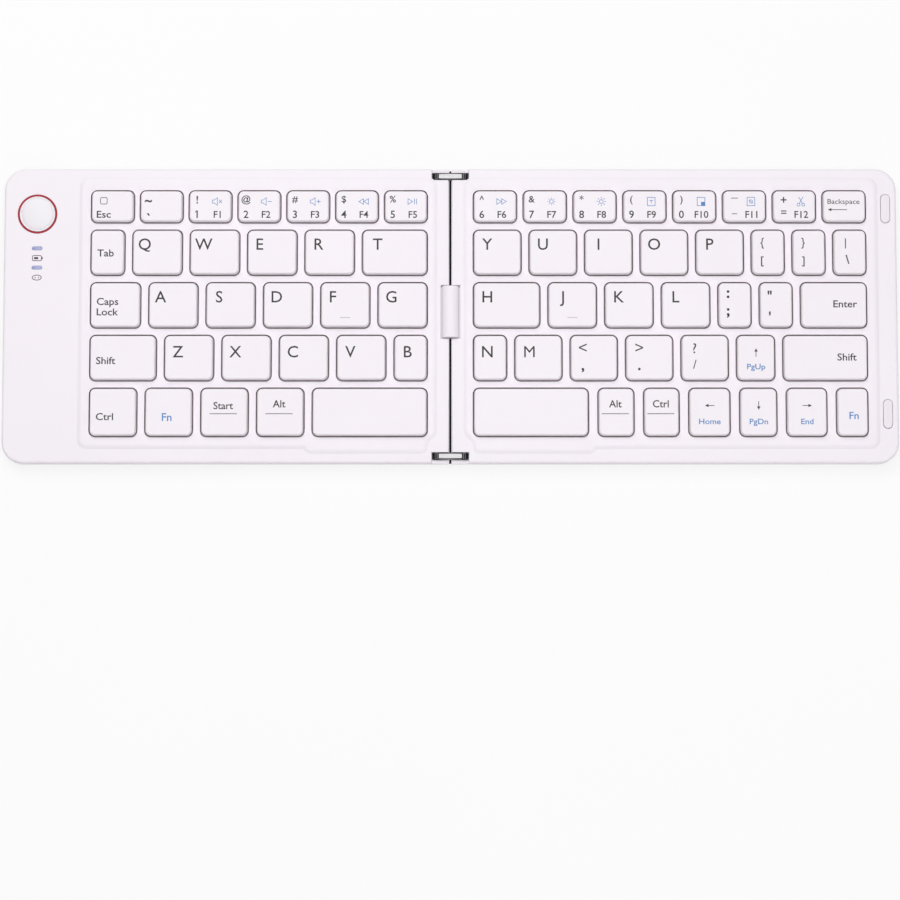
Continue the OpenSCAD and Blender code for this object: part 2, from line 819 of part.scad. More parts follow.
module at_pads() {
    for (y = [pad_back, body_d - pad_front])
        translate([half_w - pad_inset, half_d - y, 0]) children();
}

module fold_pads() {
    color([0.88, 0.88, 0.9]) at_pads()
        edged_plate(pad_w, pad_l, pad_w / 2 - pad_flat,
                    [[0, rim_z - pad_recess], [0, rim_z + pad_h - pad_edge],
                     [pad_edge, rim_z + pad_h]]);
}

module screws(side) {
    color("silver") on_side(side) for (x = screw_x(side), sy = [-1, 1])
        translate([x, sy * (half_d - screw_edge), 0]) difference() {
            union() {
                translate([0, 0, foot_h + screw_sunk]) cylinder(r = screw_head_r, h = screw_head_h);
                translate([0, 0, foot_h + screw_head_h])
                    cylinder(r = screw_r, h = split_z + screw_reach - foot_h - screw_head_h);
            }
            for (turn = [-45, 45]) translate([0, 0, foot_h]) rotate([0, 0, turn])
                cube([cross_w, cross_l, cross_d], center = true);
        }
}

// ---------- nodes ----------

left = -1;
right = 1;

color([0.92, 0.91, 0.93]) bottom_shell(left);  // left_bottom_shell
color([0.95, 0.94, 0.96]) top_shell(left);  // left_top_shell
key_plate(left);  // left_key_plate
membrane(left);  // left_membrane
domes(left);  // left_domes
battery();
main_board();
charge_socket();
button_switch();
pairing_button();
button_ring();
status_lights();
feet(left);  // left_feet
screws(left);  // left_screws
hinge_brackets(left);  // left_hinge_brackets
hinge_link(true);  // rear_link
hinge_link(false);  // front_link
link_cap(true);  // rear_link_cap
link_cap(false);  // front_link_cap
hinge_pins();
spine_bars();
cable_barrel();
ribbon_cable();
color([0.92, 0.91, 0.93]) bottom_shell(right);  // right_bottom_shell
color([0.95, 0.94, 0.96]) top_shell(right);  // right_top_shell
key_plate(right);  // right_key_plate
membrane(right);  // right_membrane
domes(right);  // right_domes
feet(right);  // right_feet
screws(right);  // right_screws
hinge_brackets(right);  // right_hinge_brackets
fold_pads();
keys(left, 0, 0, 6);  // key_number_left
keys(left, 1, 0, 0);  // key_tab
keys(left, 1, 1, 4);  // key_letters_top_left
keys(left, 1, 5, 5);  // key_letter_t
keys(left, 2, 0, 0);  // key_caps
keys(left, 2, 1, 5);  // key_letters_home_left
keys(left, 3, 0, 0);  // key_shift_left
keys(left, 3, 1, 4);  // key_letters_low_left
keys(left, 3, 5, 5);  // key_letter_b
keys(left, 4, 0, 3);  // key_front_left
keys(left, 4, 4, 4);  // key_space_left
keys(right, 0, 0, 6);  // key_number_right
keys(right, 0, 7, 7);  // key_backspace
keys(right, 1, 0, 4);  // key_letters_top_right
keys(right, 1, 5, 7);  // key_brackets
keys(right, 2, 0, 0);  // key_letter_h
keys(right, 2, 1, 3);  // key_letters_home_right
keys(right, 2, 4, 5);  // key_semicolons
keys(right, 2, 6, 6);  // key_enter
keys(right, 3, 0, 0);  // key_letter_n
keys(right, 3, 1, 4);  // key_letters_low_right
keys(right, 3, 5, 5);  // key_up
keys(right, 3, 6, 6);  // key_shift_right
keys(right, 4, 0, 0);  // key_space_right
keys(right, 4, 1, 2);  // key_alt_right
keys(right, 4, 3, 5);  // key_arrows
keys(right, 4, 6, 6);  // key_fn_right
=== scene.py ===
"""Looks of the folding keyboard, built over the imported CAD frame. Lengths are in millimetres
until a piece is made, X to the right, Y to the back, Z up."""

import bmesh
import bpy
import math
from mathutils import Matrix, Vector, geometry


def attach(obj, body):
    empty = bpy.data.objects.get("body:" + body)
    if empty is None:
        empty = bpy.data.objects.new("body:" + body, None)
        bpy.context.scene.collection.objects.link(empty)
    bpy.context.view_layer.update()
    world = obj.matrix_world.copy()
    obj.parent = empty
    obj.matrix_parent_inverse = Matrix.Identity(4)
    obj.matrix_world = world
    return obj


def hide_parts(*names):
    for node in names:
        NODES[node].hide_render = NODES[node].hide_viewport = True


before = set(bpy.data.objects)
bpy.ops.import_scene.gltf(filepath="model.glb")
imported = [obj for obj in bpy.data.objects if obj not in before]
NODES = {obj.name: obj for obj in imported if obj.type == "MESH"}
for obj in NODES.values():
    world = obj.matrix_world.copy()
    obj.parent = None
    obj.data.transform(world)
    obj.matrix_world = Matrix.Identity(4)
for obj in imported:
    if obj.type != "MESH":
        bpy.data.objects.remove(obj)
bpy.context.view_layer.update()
MM = 0.001

# ---------------------------------------------------------------- sizes that the CAD has too

HALF_W = 149.0
HALF_D = 49.5
CORNER_R = 7.2
EDGE_R = 0.9
SEAM_X = 0.5
SPLIT_Z = 3.1
RIM_Z = 5.6
DECK_Z = 6.0
DECK_R = 3.2
DECK_BEVEL = 1.6
DECK_SIDE = 4.2
DECK_BACK = 4.6
DECK_INNER = 3.4
SPACE_STEP = 1.6
KEY_TOP = 7.8
KEY_SKIRT = 5.9
KEY_R = 1.9
HINGE_CLEAR = 0.3
PIN_X = 4.6
PIN_Z = 4.3
LINK_R = 1.3
LINK_Y = 47.0
POCKET_X = 6.2
EAR_Z = 4.4
BARREL_Y = 1.25
BARREL_L = 17.3
BARREL_R = 2.9
BARREL_ROOM = BARREL_L / 2 + HINGE_CLEAR
BUTTON = (-137.9, 34.2)
RING_R = 6.6
LIGHTS = (22.6, 16.1)
LIGHT_SIZE = (3.5, 1.25)
PAD_X = 145.3
PADS = (36.0, -33.0)
PAD_SIZE = (3.0, 9.6)

# ---------------------------------------------------------------- sizes of the finish

# the keys' openings: clearance and lower edge, and the rounding along the seam
WELL_CLEAR = 0.3
WELL_LOW = 4.6
SEAM_ROUND = 0.22
# the seam widens towards the links, and the links' pockets are a little narrower
SEAM_END_X = 0.64
POCKET_Y0 = 1.2
POCKET_Y1 = 3.75
# the deck's double bend beside the front link: radius, angle in degrees, last corner
STEP_R = 3.6
STEP_TURN = 56
STEP_CORNER = 2.1
# the nose beside the sleeve, up to the pin's height and above it
NOSE_R = 1.5
NOSE_TOP_R = 1.74
RING_HOLE_R = RING_R + 0.04
# width, depth and corner radius of the openings for a light and for a pad
LIGHT_HOLE = (3.56, 1.31, 0.62)
PAD_HOLE = (3.3, 9.9, 1.6)
HOLE_DEPTH = 0.5
# (outwards, down) of the lip of a key's opening, and (inwards, down) of a lug's upper edge
WELL_LIP = ((0.09, 0), (0.045, 0.012), (0.012, 0.045), (0, 0.09))
EAR_EDGE = ((0, 0.15), (0.05, 0.04), (0.15, 0))
# edges sharper than this, in degrees, stay sharp
SMOOTH_ANGLE = 32

SIDES = {"left": -1, "right": 1}
KEY_NODES = {
    "left": ["key_number_left", "key_tab", "key_letters_top_left", "key_letter_t", "key_caps",
             "key_letters_home_left", "key_shift_left", "key_letters_low_left",
             "key_letter_b", "key_front_left", "key_space_left"],
    "right": ["key_number_right", "key_backspace", "key_letters_top_right", "key_brackets",
              "key_letter_h", "key_letters_home_right", "key_semicolons", "key_enter",
              "key_letter_n", "key_letters_low_right", "key_up", "key_shift_right",
              "key_space_right", "key_alt_right", "key_arrows", "key_fn_right"],
}


# ---------------------------------------------------------------- materials

# height of a grain in metres, and noise cells over one metre
GRAIN_HEIGHT = 0.00002
DRIFT_SCALE = 22
ACROSS_SCALE = 4200.0
# gloss of plastics, and how strongly the streaks of metal stand out
PLASTIC_IOR = 1.49
COAT_ROUGHNESS = 0.12
STREAK_STRENGTH = 0.15


def node_material(name):
    made = bpy.data.materials.new(name)
    made.use_nodes = True
    tree = made.node_tree
    shader = next(n for n in tree.nodes if n.type == "BSDF_PRINCIPLED")
    return made, tree, shader


def noise_at(tree, scale, detail=2.0, rough=0.5):
    place = tree.nodes.new("ShaderNodeTexCoord")
    tex = tree.nodes.new("ShaderNodeTexNoise")
    tex.inputs["Scale"].default_value = scale
    tex.inputs["Detail"].default_value = detail
    tex.inputs["Roughness"].default_value = rough
    tree.links.new(place.outputs["Object"], tex.inputs["Vector"])
    return tex


def ramp_between(tree, factor, low, high):
    ramp = tree.nodes.new("ShaderNodeValToRGB")
    ramp.color_ramp.elements[0].position = 0.3
    ramp.color_ramp.elements[1].position = 0.7
    ramp.color_ramp.elements[0].color = (*low, 1)
    ramp.color_ramp.elements[1].color = (*high, 1)
    tree.links.new(factor, ramp.inputs["Fac"])
    return ramp.outputs["Color"]


def spread(tree, factor, low, high):
    wide = tree.nodes.new("ShaderNodeMapRange")
    wide.inputs["To Min"].default_value = low
    wide.inputs["To Max"].default_value = high
    tree.links.new(factor, wide.inputs["Value"])
    return wide.outputs["Result"]


def bumped(tree, shader, height, strength):
    bump = tree.nodes.new("ShaderNodeBump")
    bump.inputs["Strength"].default_value = strength
    bump.inputs["Distance"].default_value = GRAIN_HEIGHT
    tree.links.new(height, bump.inputs["Height"])
    tree.links.new(bump.outputs["Normal"], shader.inputs["Normal"])


def moulded(name, low, high, rough=(0.38, 0.5), grain=2600, depth=0.25, coat=0.0, sheen=0.0):
    """Moulded plastic: a fine spark-eroded grain, and a slow drift of tone and gloss."""
    made, tree, shader = node_material(name)
    drift = noise_at(tree, DRIFT_SCALE, 3)
    fine = noise_at(tree, grain, 3, 0.6)
    tree.links.new(ramp_between(tree, drift.outputs["Fac"], low, high),
                   shader.inputs["Base Color"])
    tree.links.new(spread(tree, fine.outputs["Fac"], *rough), shader.inputs["Roughness"])
    shader.inputs["IOR"].default_value = PLASTIC_IOR
    shader.inputs["Coat Weight"].default_value = coat
    shader.inputs["Coat Roughness"].default_value = COAT_ROUGHNESS
    shader.inputs["Sheen Weight"].default_value = sheen
    bumped(tree, shader, fine.outputs["Fac"], depth)
    return made


def metal(name, low, high, rough=(0.22, 0.38), along="Y", streak=90, metallic=1.0):
    """Drawn or brushed metal: streaks that run along one axis."""
    made, tree, shader = node_material(name)
    place = tree.nodes.new("ShaderNodeTexCoord")
    stretch = tree.nodes.new("ShaderNodeMapping")
    scale = [ACROSS_SCALE] * 3
    scale["XYZ".index(along)] = streak
    stretch.inputs["Scale"].default_value = scale
    tree.links.new(place.outputs["Object"], stretch.inputs["Vector"])
    lines = tree.nodes.new("ShaderNodeTexNoise")
    lines.inputs["Scale"].default_value = 1.0
    lines.inputs["Detail"].default_value = 4
    tree.links.new(stretch.outputs["Vector"], lines.inputs["Vector"])
    tree.links.new(ramp_between(tree, lines.outputs["Fac"], low, high),
                   shader.inputs["Base Color"])
    tree.links.new(spread(tree, lines.outputs["Fac"], *rough), shader.inputs["Roughness"])
    shader.inputs["Metallic"].default_value = metallic
    bumped(tree, shader, lines.outputs["Fac"], STREAK_STRENGTH)
    return made


BODY = moulded("body_plastic", (0.875, 0.826, 0.882), (0.893, 0.844, 0.90))
# painted shade: the lower shell is a shade darker than the upper one to stand for the shade along
# the body's lower edge
BODY_LOWER_SHADE = moulded("lower_plastic_painted_shade", (0.83, 0.785, 0.835), (0.855, 0.81, 0.86), (0.42, 0.55))
CAPS = moulded("keycap_plastic", (0.872, 0.828, 0.876), (0.886, 0.843, 0.89), (0.33, 0.45),
               3400, 0.18)
# painted shade: the brown-grey of the keys' opening walls stands in for the shade down the gap
# round each keycap
WELL_SHADE = moulded("key_well_painted_shade", (0.78, 0.67, 0.63), (0.83, 0.72, 0.68), (0.6, 0.75))
# painted shade: the key plates are tinted brown-grey to stand for the shade seen at the bottom of
# the gaps round the keycaps
PLATE_GAP_SHADE = moulded("plate_painted_gap_shade", (0.70, 0.59, 0.56), (0.76, 0.65, 0.62), (0.5, 0.6), 1200)
DOME = moulded("button_plastic", (0.84, 0.81, 0.85), (0.865, 0.84, 0.875), (0.32, 0.4), 3000,
               0.08)
RED = moulded("ring_plastic", (0.36, 0.002, 0.016), (0.42, 0.004, 0.024), (0.4, 0.5), 3000,
              0.1)
LENS = moulded("light_lens", (0.27, 0.30, 0.55), (0.33, 0.36, 0.62), (0.15, 0.25), 1500,
               0.1, coat=0.6)
PAD = moulded("pad_silicone", (0.84, 0.795, 0.845), (0.86, 0.815, 0.865), (0.55, 0.7), 1800,
              0.4, sheen=0.15)
RUBBER = moulded("foot_rubber", (0.33, 0.33, 0.34), (0.38, 0.38, 0.39), (0.65, 0.85), 1500,
                 0.6, sheen=0.2)
INK = moulded("legend_ink", (0.022, 0.019, 0.019), (0.032, 0.028, 0.028), (0.5, 0.6), 3000,
              0.1)
BLUE = moulded("legend_blue", (0.06, 0.21, 0.50), (0.075, 0.24, 0.55), (0.5, 0.6), 3000,
               0.1)
# painted shade: the black of the bars in the seam stands in for the shadow deep in the gap
# between the halves
SEAM_SHADE = moulded("seam_painted_shade", (0.004, 0.0035, 0.004), (0.007, 0.006, 0.006), (0.85, 0.95), 1800)
GREY = moulded("homing_grey", (0.50, 0.47, 0.49), (0.54, 0.51, 0.53), (0.45, 0.55), 3000, 0.1)
# painted reflection: the collars' steel is lighter than the links' black to draw grey stripes
# across the round link ends
COLLAR_GLINT = metal("collar_steel_painted_glint", (0.10, 0.10, 0.10), (0.17, 0.17, 0.17), (0.4, 0.5), "X", 200)
BLACK = metal("blackened_steel", (0.012, 0.012, 0.013), (0.03, 0.03, 0.032), (0.3, 0.5),
              "X", 200, 0.8)
BRIGHT = metal("plated_steel", (0.41, 0.40, 0.415), (0.50, 0.49, 0.505), (0.4, 0.5), "X",
               120)
STEEL = metal("bare_steel", (0.48, 0.48, 0.5), (0.62, 0.62, 0.64), (0.25, 0.4), "Y", 150)
FILM = moulded("contact_film", (0.05, 0.045, 0.045), (0.08, 0.07, 0.07), (0.3, 0.4))
# the domes' rubber is partly their own tone and partly painted shade: its brown-grey stands for
# the shade at the bottom of the key gaps
DOME_RUBBER_GAP_SHADE = moulded("dome_rubber_gap_shade", (0.70, 0.62, 0.60), (0.76, 0.68, 0.66),
                          (0.55, 0.7))
FOIL = metal("battery_foil", (0.55, 0.57, 0.6), (0.68, 0.7, 0.73), (0.3, 0.5), "Y", 300)
BOARD = moulded("circuit_board", (0.01, 0.11, 0.045), (0.02, 0.16, 0.07), (0.25, 0.4), 900,
                0.4)
RIBBON = moulded("amber_ribbon", (0.5, 0.2, 0.03), (0.6, 0.27, 0.05), (0.25, 0.35), 1200,
                 0.1)

CAD_FINISH = {
    "left_bottom_shell": BODY_LOWER_SHADE, "right_bottom_shell": BODY_LOWER_SHADE,
    "left_top_shell": BODY, "right_top_shell": BODY,
    "left_key_plate": PLATE_GAP_SHADE, "right_key_plate": PLATE_GAP_SHADE,
    "left_membrane": FILM, "right_membrane": FILM,
    "left_domes": DOME_RUBBER_GAP_SHADE, "right_domes": DOME_RUBBER_GAP_SHADE,
    "battery": FOIL, "main_board": BOARD, "charge_socket": STEEL,
    "button_switch": BLACK, "pairing_button": DOME, "button_ring": RED,
    "status_lights": LENS, "left_feet": RUBBER, "right_feet": RUBBER,
    "left_screws": STEEL, "right_screws": STEEL,
    "left_hinge_brackets": BLACK, "right_hinge_brackets": BLACK,
    "rear_link": BLACK, "front_link": BLACK, "rear_link_cap": BRIGHT,
    "front_link_cap": BRIGHT, "hinge_pins": STEEL, "cable_barrel": BODY,
    "ribbon_cable": RIBBON, "fold_pads": PAD, "spine_bars": SEAM_SHADE,
}
for name, obj in NODES.items():
    obj.data.materials.clear()
    obj.data.materials.append(CAD_FINISH.get(name, CAPS))


# ---------------------------------------------------------------- mesh kit

class Form:
    """Faces gathered in millimetres, each with the number of its material."""

    def __init__(self):
        self.points, self.faces, self.kinds = [], [], []

    def add(self, points, faces, kind=0):
        base = len(self.points)
        self.points += [tuple(p) for p in points]
        for face in faces:
            self.faces.append([base + i for i in face])
            self.kinds.append(kind)

    def strips(self, loops, kind=0):
        """Joins each loop to the next with quads. Loops run counter-clockwise, lowest first."""
        n = len(loops[0])
        faces = [(k * n + i, k * n + (i + 1) % n, (k + 1) * n + (i + 1) % n, (k + 1) * n + i)
                 for k in range(len(loops) - 1) for i in range(n)]
        self.add([p for loop in loops for p in loop], faces, kind)

    def ends(self, loops):
        """Closes the first and the last loop of a form that lies along an axis."""
        n = len(loops[0])
        self.add(loops[0], [list(range(n))[::-1]])
        self.add(loops[-1], [list(range(n))])

    def flat(self, outer, holes, z, up=True):
        """A level face with holes."""
        rings = [[Vector((p[0], p[1], 0)) for p in ring] for ring in [outer, *holes]]
        points = [(p.x, p.y, z) for ring in rings for p in ring]
        faces = []
        for t in geometry.tessellate_polygon(rings):
            a, b, c = (points[i] for i in t)
            turn = (b[0] - a[0]) * (c[1] - a[1]) - (b[1] - a[1]) * (c[0] - a[0])
            if abs(turn) > 1e-9:
                faces.append(t if (turn > 0) == up else t[::-1])
        self.add(points, faces)

    def mirrored(self):
        """The same form on the other side of the fold."""
        made = Form()
        made.points = [(-x, y, z) for x, y, z in self.points]
        made.faces = [face[::-1] for face in self.faces]
        made.kinds = list(self.kinds)
        return made

    def piece(self, name, materials, body, slot=None, replaces=(), weighted=True):
        """Makes the form an object that rides on a body."""
        data = bpy.data.meshes.new(name)
        data.from_pydata([(x * MM, y * MM, z * MM) for x, y, z in self.points], [],
                         self.faces)
        for material in materials:
            data.materials.append(material)
        data.polygons.foreach_set("material_index", self.kinds)
        obj = bpy.data.objects.new(name, data)
        bpy.context.scene.collection.objects.link(obj)
        bm = bmesh.new()
        bm.from_mesh(data)
        bmesh.ops.remove_doubles(bm, verts=bm.verts, dist=1e-6)
        bmesh.ops.dissolve_degenerate(bm, edges=bm.edges, dist=1e-7)
        bm.to_mesh(data)
        bm.free()
        data.shade_smooth()
        data.set_sharp_from_angle(angle=math.radians(SMOOTH_ANGLE))
        if weighted:
            mod = obj.modifiers.new("even_normals", "WEIGHTED_NORMAL")
            mod.keep_sharp = True
        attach(obj, body)
        if replaces:
            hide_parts(*replaces)
        return obj


def arc(cx, cy, r, start, end, n):
    """n steps from one angle to another, in degrees."""
    angles = [math.radians(start + (end - start) * k / n) for k in range(n + 1)]
    return [(cx + r * math.cos(a), cy + r * math.sin(a)) for a in angles]


def rounded(cx, cy, w, d, r, n=7):
    """Rounded rectangle, counter-clockwise, with n steps a corner."""
    points = []
    for sx, sy, start in ((1, -1, -90), (1, 1, 0), (-1, 1, 90), (-1, -1, 180)):
        points += arc(cx + sx * (w / 2 - r), cy + sy * (d / 2 - r), r, start, start + 90, n)
    return points


def circle(cx, cy, r, n):
    return [(cx + r * math.cos(2 * math.pi * k / n), cy + r * math.sin(2 * math.pi * k / n))
            for k in range(n)]


def inset(loop, amounts):
    """Moves each side of a counter-clockwise loop inwards, by one amount or one for each side."""
    n = len(loop)
    if not hasattr(amounts, "__len__"):
        amounts = [amounts] * n
    made = []
    for i in range(n):
        before, here, after = loop[i - 1], loop[i], loop[(i + 1) % n]
        d0 = Vector((here[0] - before[0], here[1] - before[1])).normalized()
        d1 = Vector((after[0] - here[0], after[1] - here[1])).normalized()
        n0, n1 = Vector((-d0.y, d0.x)), Vector((-d1.y, d1.x))
        a, b = amounts[i - 1], amounts[i]
        turn = d0.x * d1.y - d0.y * d1.x
        if abs(turn) < 0.02:
            move = (n0 + n1).normalized() * (a + b) / 2
        else:
            # the point that lies a inside the first side and b inside the second
            move = Vector(((a * n1.y - b * n0.y), (b * n0.x - a * n1.x))) / (
                n0.x * n1.y - n0.y * n1.x)
        made.append((here[0] + move.x, here[1] + move.y))
    return made


def at_z(loop, z):
    return [(p[0], p[1], z) for p in loop]


def revolve(form, cx, cy, profile):
    """A profile of (radius, height above the rim), from the outside bottom up and inwards."""
    form.strips([at_z(circle(cx, cy, max(r, 0.0001), 96), RIM_Z + h) for r, h in profile])


# ---------------------------------------------------------------- keys

# points of a CAD mesh that share a cell of this grid, in cells over one metre, are one
GRID = 2e5
# what is narrower than this in a node's mesh is no keycap
LEAST_CAP = 5


def caps_of(node):
    """The keycaps of a CAD node as (x0, x1, y0, y1), from left to right."""
    data = NODES[node].data
    place, root = {}, []

    def find(i):
        while root[i] != i:
            root[i] = root[root[i]]
            i = root[i]
        return i

    index = []
    for v in data.vertices:
        key = tuple(round(c * GRID) for c in v.co)
        if key not in place:
            place[key] = len(root)
            root.append(len(root))
        index.append(place[key])
    for p in data.polygons:
        vs = [find(index[i]) for i in p.vertices]
        for other in vs[1:]:
            root[find(other)] = find(vs[0])
    boxes = {}
    for v, i in zip(data.vertices, index):
        x, y = v.co.x / MM, v.co.y / MM
        box = boxes.setdefault(find(i), [x, x, y, y])
        box[0], box[1] = min(box[0], x), max(box[1], x)
        box[2], box[3] = min(box[2], y), max(box[3], y)
    return sorted(tuple(b) for b in boxes.values() if b[1] - b[0] > LEAST_CAP)


DISH = 0.05
CAP_BASE = 0.1
CAP_DRAFT = 0.24
CAP_ROUND = 0.36
# the edge ends a hair under the CAD's top, which leaves room for the ink
CAP_TOP = KEY_TOP - 0.02
CAP_EDGE = [(CAP_BASE, KEY_SKIRT + 0.1), (CAP_BASE + CAP_DRAFT, CAP_TOP - CAP_ROUND)] + [
    (CAP_BASE + CAP_DRAFT + CAP_ROUND * (1 - math.cos(math.radians(a))),
     CAP_TOP - CAP_ROUND + CAP_ROUND * math.sin(math.radians(a)))
    for a in (25, 40, 55, 70, 90)]
TOP_RINGS = (0.985, 0.9, 0.75, 0.55, 0.35, 0.15)
FOOT_IN = 0.25


def top_at(cap, x, y):
    """Height of a keycap's faintly dished top."""
    u = abs(x - (cap[0] + cap[1]) / 2) / ((cap[1] - cap[0]) / 2 - CAP_EDGE[-1][0])
    v = abs(y - (cap[2] + cap[3]) / 2) / ((cap[3] - cap[2]) / 2 - CAP_EDGE[-1][0])
    return CAP_EDGE[-1][1] - DISH * (1 - min(1, max(u, v)) ** 2)


def keycap(form, cap):
    """A closed cap: foot, drafted wall, rounded edge and a faint dish."""
    x0, x1, y0, y1 = cap
    cx, cy, w, d = (x0 + x1) / 2, (y0 + y1) / 2, x1 - x0, y1 - y0
    base = rounded(cx, cy, w - 2 * FOOT_IN, d - 2 * FOOT_IN, KEY_R - FOOT_IN)
    form.flat(base, [], KEY_SKIRT, up=False)
    loops = [at_z(base, KEY_SKIRT)]
    loops += [at_z(rounded(cx, cy, w - 2 * i, d - 2 * i, KEY_R - i), z) for i, z in CAP_EDGE]
    last = loops[-1]
    for s in TOP_RINGS:
        loops.append([(cx + (p[0] - cx) * s, cy + (p[1] - cy) * s,
                       CAP_EDGE[-1][1] - DISH * (1 - s * s)) for p in last])
    form.strips(loops)
    form.add(loops[-1], [list(range(len(last)))])


CAPS_AT = {node: caps_of(node) for side in KEY_NODES for node in KEY_NODES[side]}
for side in KEY_NODES:
    for node in KEY_NODES[side]:
        form = Form()
        for cap in CAPS_AT[node]:
            keycap(form, cap)
        form.piece(node + "_cap", [CAPS], node, "keycap", [node])


# ---------------------------------------------------------------- top shells

# heights of the wall's rings, closer where its edge rounds over
LEVELS = [SPLIT_Z, PIN_Z, 4.7, 4.9, 5.1, 5.25, 5.36, 5.45, 5.52, 5.57, RIM_Z]


def edge_inset(kind, z):
    """How far a side of the kind has rounded over at the height z."""
    if kind == "nose":
        rise = max(0.0, z - PIN_Z)
        return max(0.0, NOSE_R - math.sqrt(NOSE_TOP_R ** 2 - rise ** 2))
    r = EDGE_R if kind == "outer" else SEAM_ROUND
    rise = max(0.0, z - (RIM_Z - r))
    return r - math.sqrt(max(0.0, r * r - rise * rise))


def half_outline():
    """The right half from above, counter-clockwise, with the kind of each side."""
    points, kinds = [], []

    def go(x, y, kind):
        points.append((x, y))
        kinds.append(kind)

    nose = PIN_X - NOSE_R
    go(POCKET_X, -HALF_D, "outer")
    for sy, start in ((-1, -90), (1, 0)):
        for x, y in arc(HALF_W - CORNER_R, sy * (HALF_D - CORNER_R), CORNER_R, start,
                        start + 90, 12):
            go(x, y, "outer")
    go(POCKET_X, HALF_D, "seam")
    go(POCKET_X, HALF_D - POCKET_Y1, "seam")
    go(SEAM_END_X, HALF_D - POCKET_Y1, "seam")
    go(SEAM_X, BARREL_Y + BARREL_ROOM, "seam")
    go(nose, BARREL_Y + BARREL_ROOM, "nose")
    go(nose, BARREL_Y - BARREL_ROOM, "seam")
    go(SEAM_X, BARREL_Y - BARREL_ROOM, "seam")
    go(SEAM_END_X, -HALF_D + POCKET_Y1, "seam")
    go(POCKET_X, -HALF_D + POCKET_Y1, "seam")
    return points, kinds


def deck_outline(side):
    """Foot of the raised deck on the right side of the fold, with the step by the space bar."""
    caps = [c for node in KEY_NODES[side] for c in CAPS_AT[node]]
    far = max(max(abs(c[0]), abs(c[1])) for c in caps) + DECK_SIDE
    near = min(min(abs(c[0]), abs(c[1])) for c in caps) - DECK_INNER
    back = max(c[3] for c in caps) + DECK_BACK
    front = min(c[2] for c in caps) - DECK_SIDE
    space = CAPS_AT["key_space_" + side][0]
    step = max(abs(space[0]), abs(space[1])) + DECK_INNER
    low = front - SPACE_STEP
    r = DECK_R
    # where the step's corner meets the front edge
    meet = -math.degrees(math.asin((r - SPACE_STEP) / r))
    # beside the link the edge bends outwards and back, then rounds the corner
    turn = math.radians(STEP_TURN)
    out = near + 2 * STEP_R * (1 - math.cos(turn))
    bend_y = low + STEP_CORNER
    bend = arc(near + STEP_R, bend_y + 2 * STEP_R * math.sin(turn), STEP_R, 180,
               180 + STEP_TURN, 8)
    bend += arc(out - STEP_R, bend_y, STEP_R, STEP_TURN, 0, 8)[1:]
    bend += arc(out + STEP_CORNER, bend_y, STEP_CORNER, 180, 270, 8)[1:]
    return (bend + arc(step - r, low + r, r, 270, 360 + meet, 10)
            + arc(far - r, front + r, r, 270, 360, 10)
            + arc(far - r, back - r, r, 0, 90, 10)
            + arc(near + r, back - r, r, 90, 180, 10)), caps


def deck_slope(form, foot):
    """The rounded edge of the deck. Returns its upper loop."""
    loops = [at_z(foot, RIM_Z)]
    for k in range(1, 9):
        rise = (DECK_Z - RIM_Z) * math.sin(math.pi / 2 * k / 8)
        loops.append(at_z(inset(foot, DECK_BEVEL * k / 8), RIM_Z + rise))
    form.strips(loops)
    return loops[-1]


def well(form, x0, x1, y0, y1):
    """Rounded lip and wall of a key's opening, the wall in the painted shade of the gap. Returns
    its upper loop, counter-clockwise.
    """
    rings = []
    for out, down in WELL_LIP:
        grow = WELL_CLEAR + out
        ring = rounded((x0 + x1) / 2, (y0 + y1) / 2, x1 - x0 + 2 * grow, y1 - y0 + 2 * grow,
                       KEY_R + grow)
        rings.append(at_z(ring, DECK_Z - down)[::-1])
    form.strips(rings[::-1])
    # the wall below the lip takes the second material, the painted shade of the gap
    form.strips([at_z(rings[-1], WELL_LOW), rings[-1]], 1)
    return rings[0][::-1]


def top_skin(side):
    """A half's upper shell, made on the right side of the fold."""
    form = Form()
    outline, kinds = half_outline()
    loops = [at_z(inset(outline, [edge_inset(k, z) for k in kinds]), z) for z in LEVELS]
    form.strips(loops)
    foot, caps = deck_outline(side)
    mirror = SIDES[side]
    if side == "left":
        holes = [circle(mirror * BUTTON[0], BUTTON[1], RING_HOLE_R, 72)]
        holes += [rounded(mirror * BUTTON[0], y, *LIGHT_HOLE) for y in LIGHTS]
    else:
        holes = [rounded(PAD_X, y, *PAD_HOLE) for y in PADS]
    form.flat(loops[-1], [foot, *holes], RIM_Z)
    for hole in holes:
        form.strips([at_z(hole[::-1], RIM_Z - HOLE_DEPTH), at_z(hole[::-1], RIM_Z)])
    top = deck_slope(form, foot)
    wells = [well(form, *sorted((mirror * c[0], mirror * c[1])), c[2], c[3]) for c in caps]
    form.flat(top, wells, DECK_Z)
    for sy in (-1, 1):
        ears(form, sy)
    if mirror < 0:
        form = form.mirrored()
    form.piece(side + "_top_skin", [BODY, WELL_SHADE], side + "_half", "shell",
               [side + "_top_shell"])


def ears(form, sy):
    """The low lugs beyond the links, which carry the round of the body's end."""
    y0, y1 = HALF_D - POCKET_Y0, HALF_D
    ring = [(SEAM_X, y0), (POCKET_X, y0), (POCKET_X, y1), (SEAM_X, y1)]
    if sy < 0:
        ring = [(x, -y) for x, y in ring][::-1]
    loops = [at_z(ring, SPLIT_Z)]
    loops += [at_z(inset(ring, inwards), EAR_Z - down) for inwards, down in EAR_EDGE]
    form.strips(loops)
    form.flat(loops[-1], [], EAR_Z)


for side in SIDES:
    top_skin(side)


# ---------------------------------------------------------------- button strip, hinge

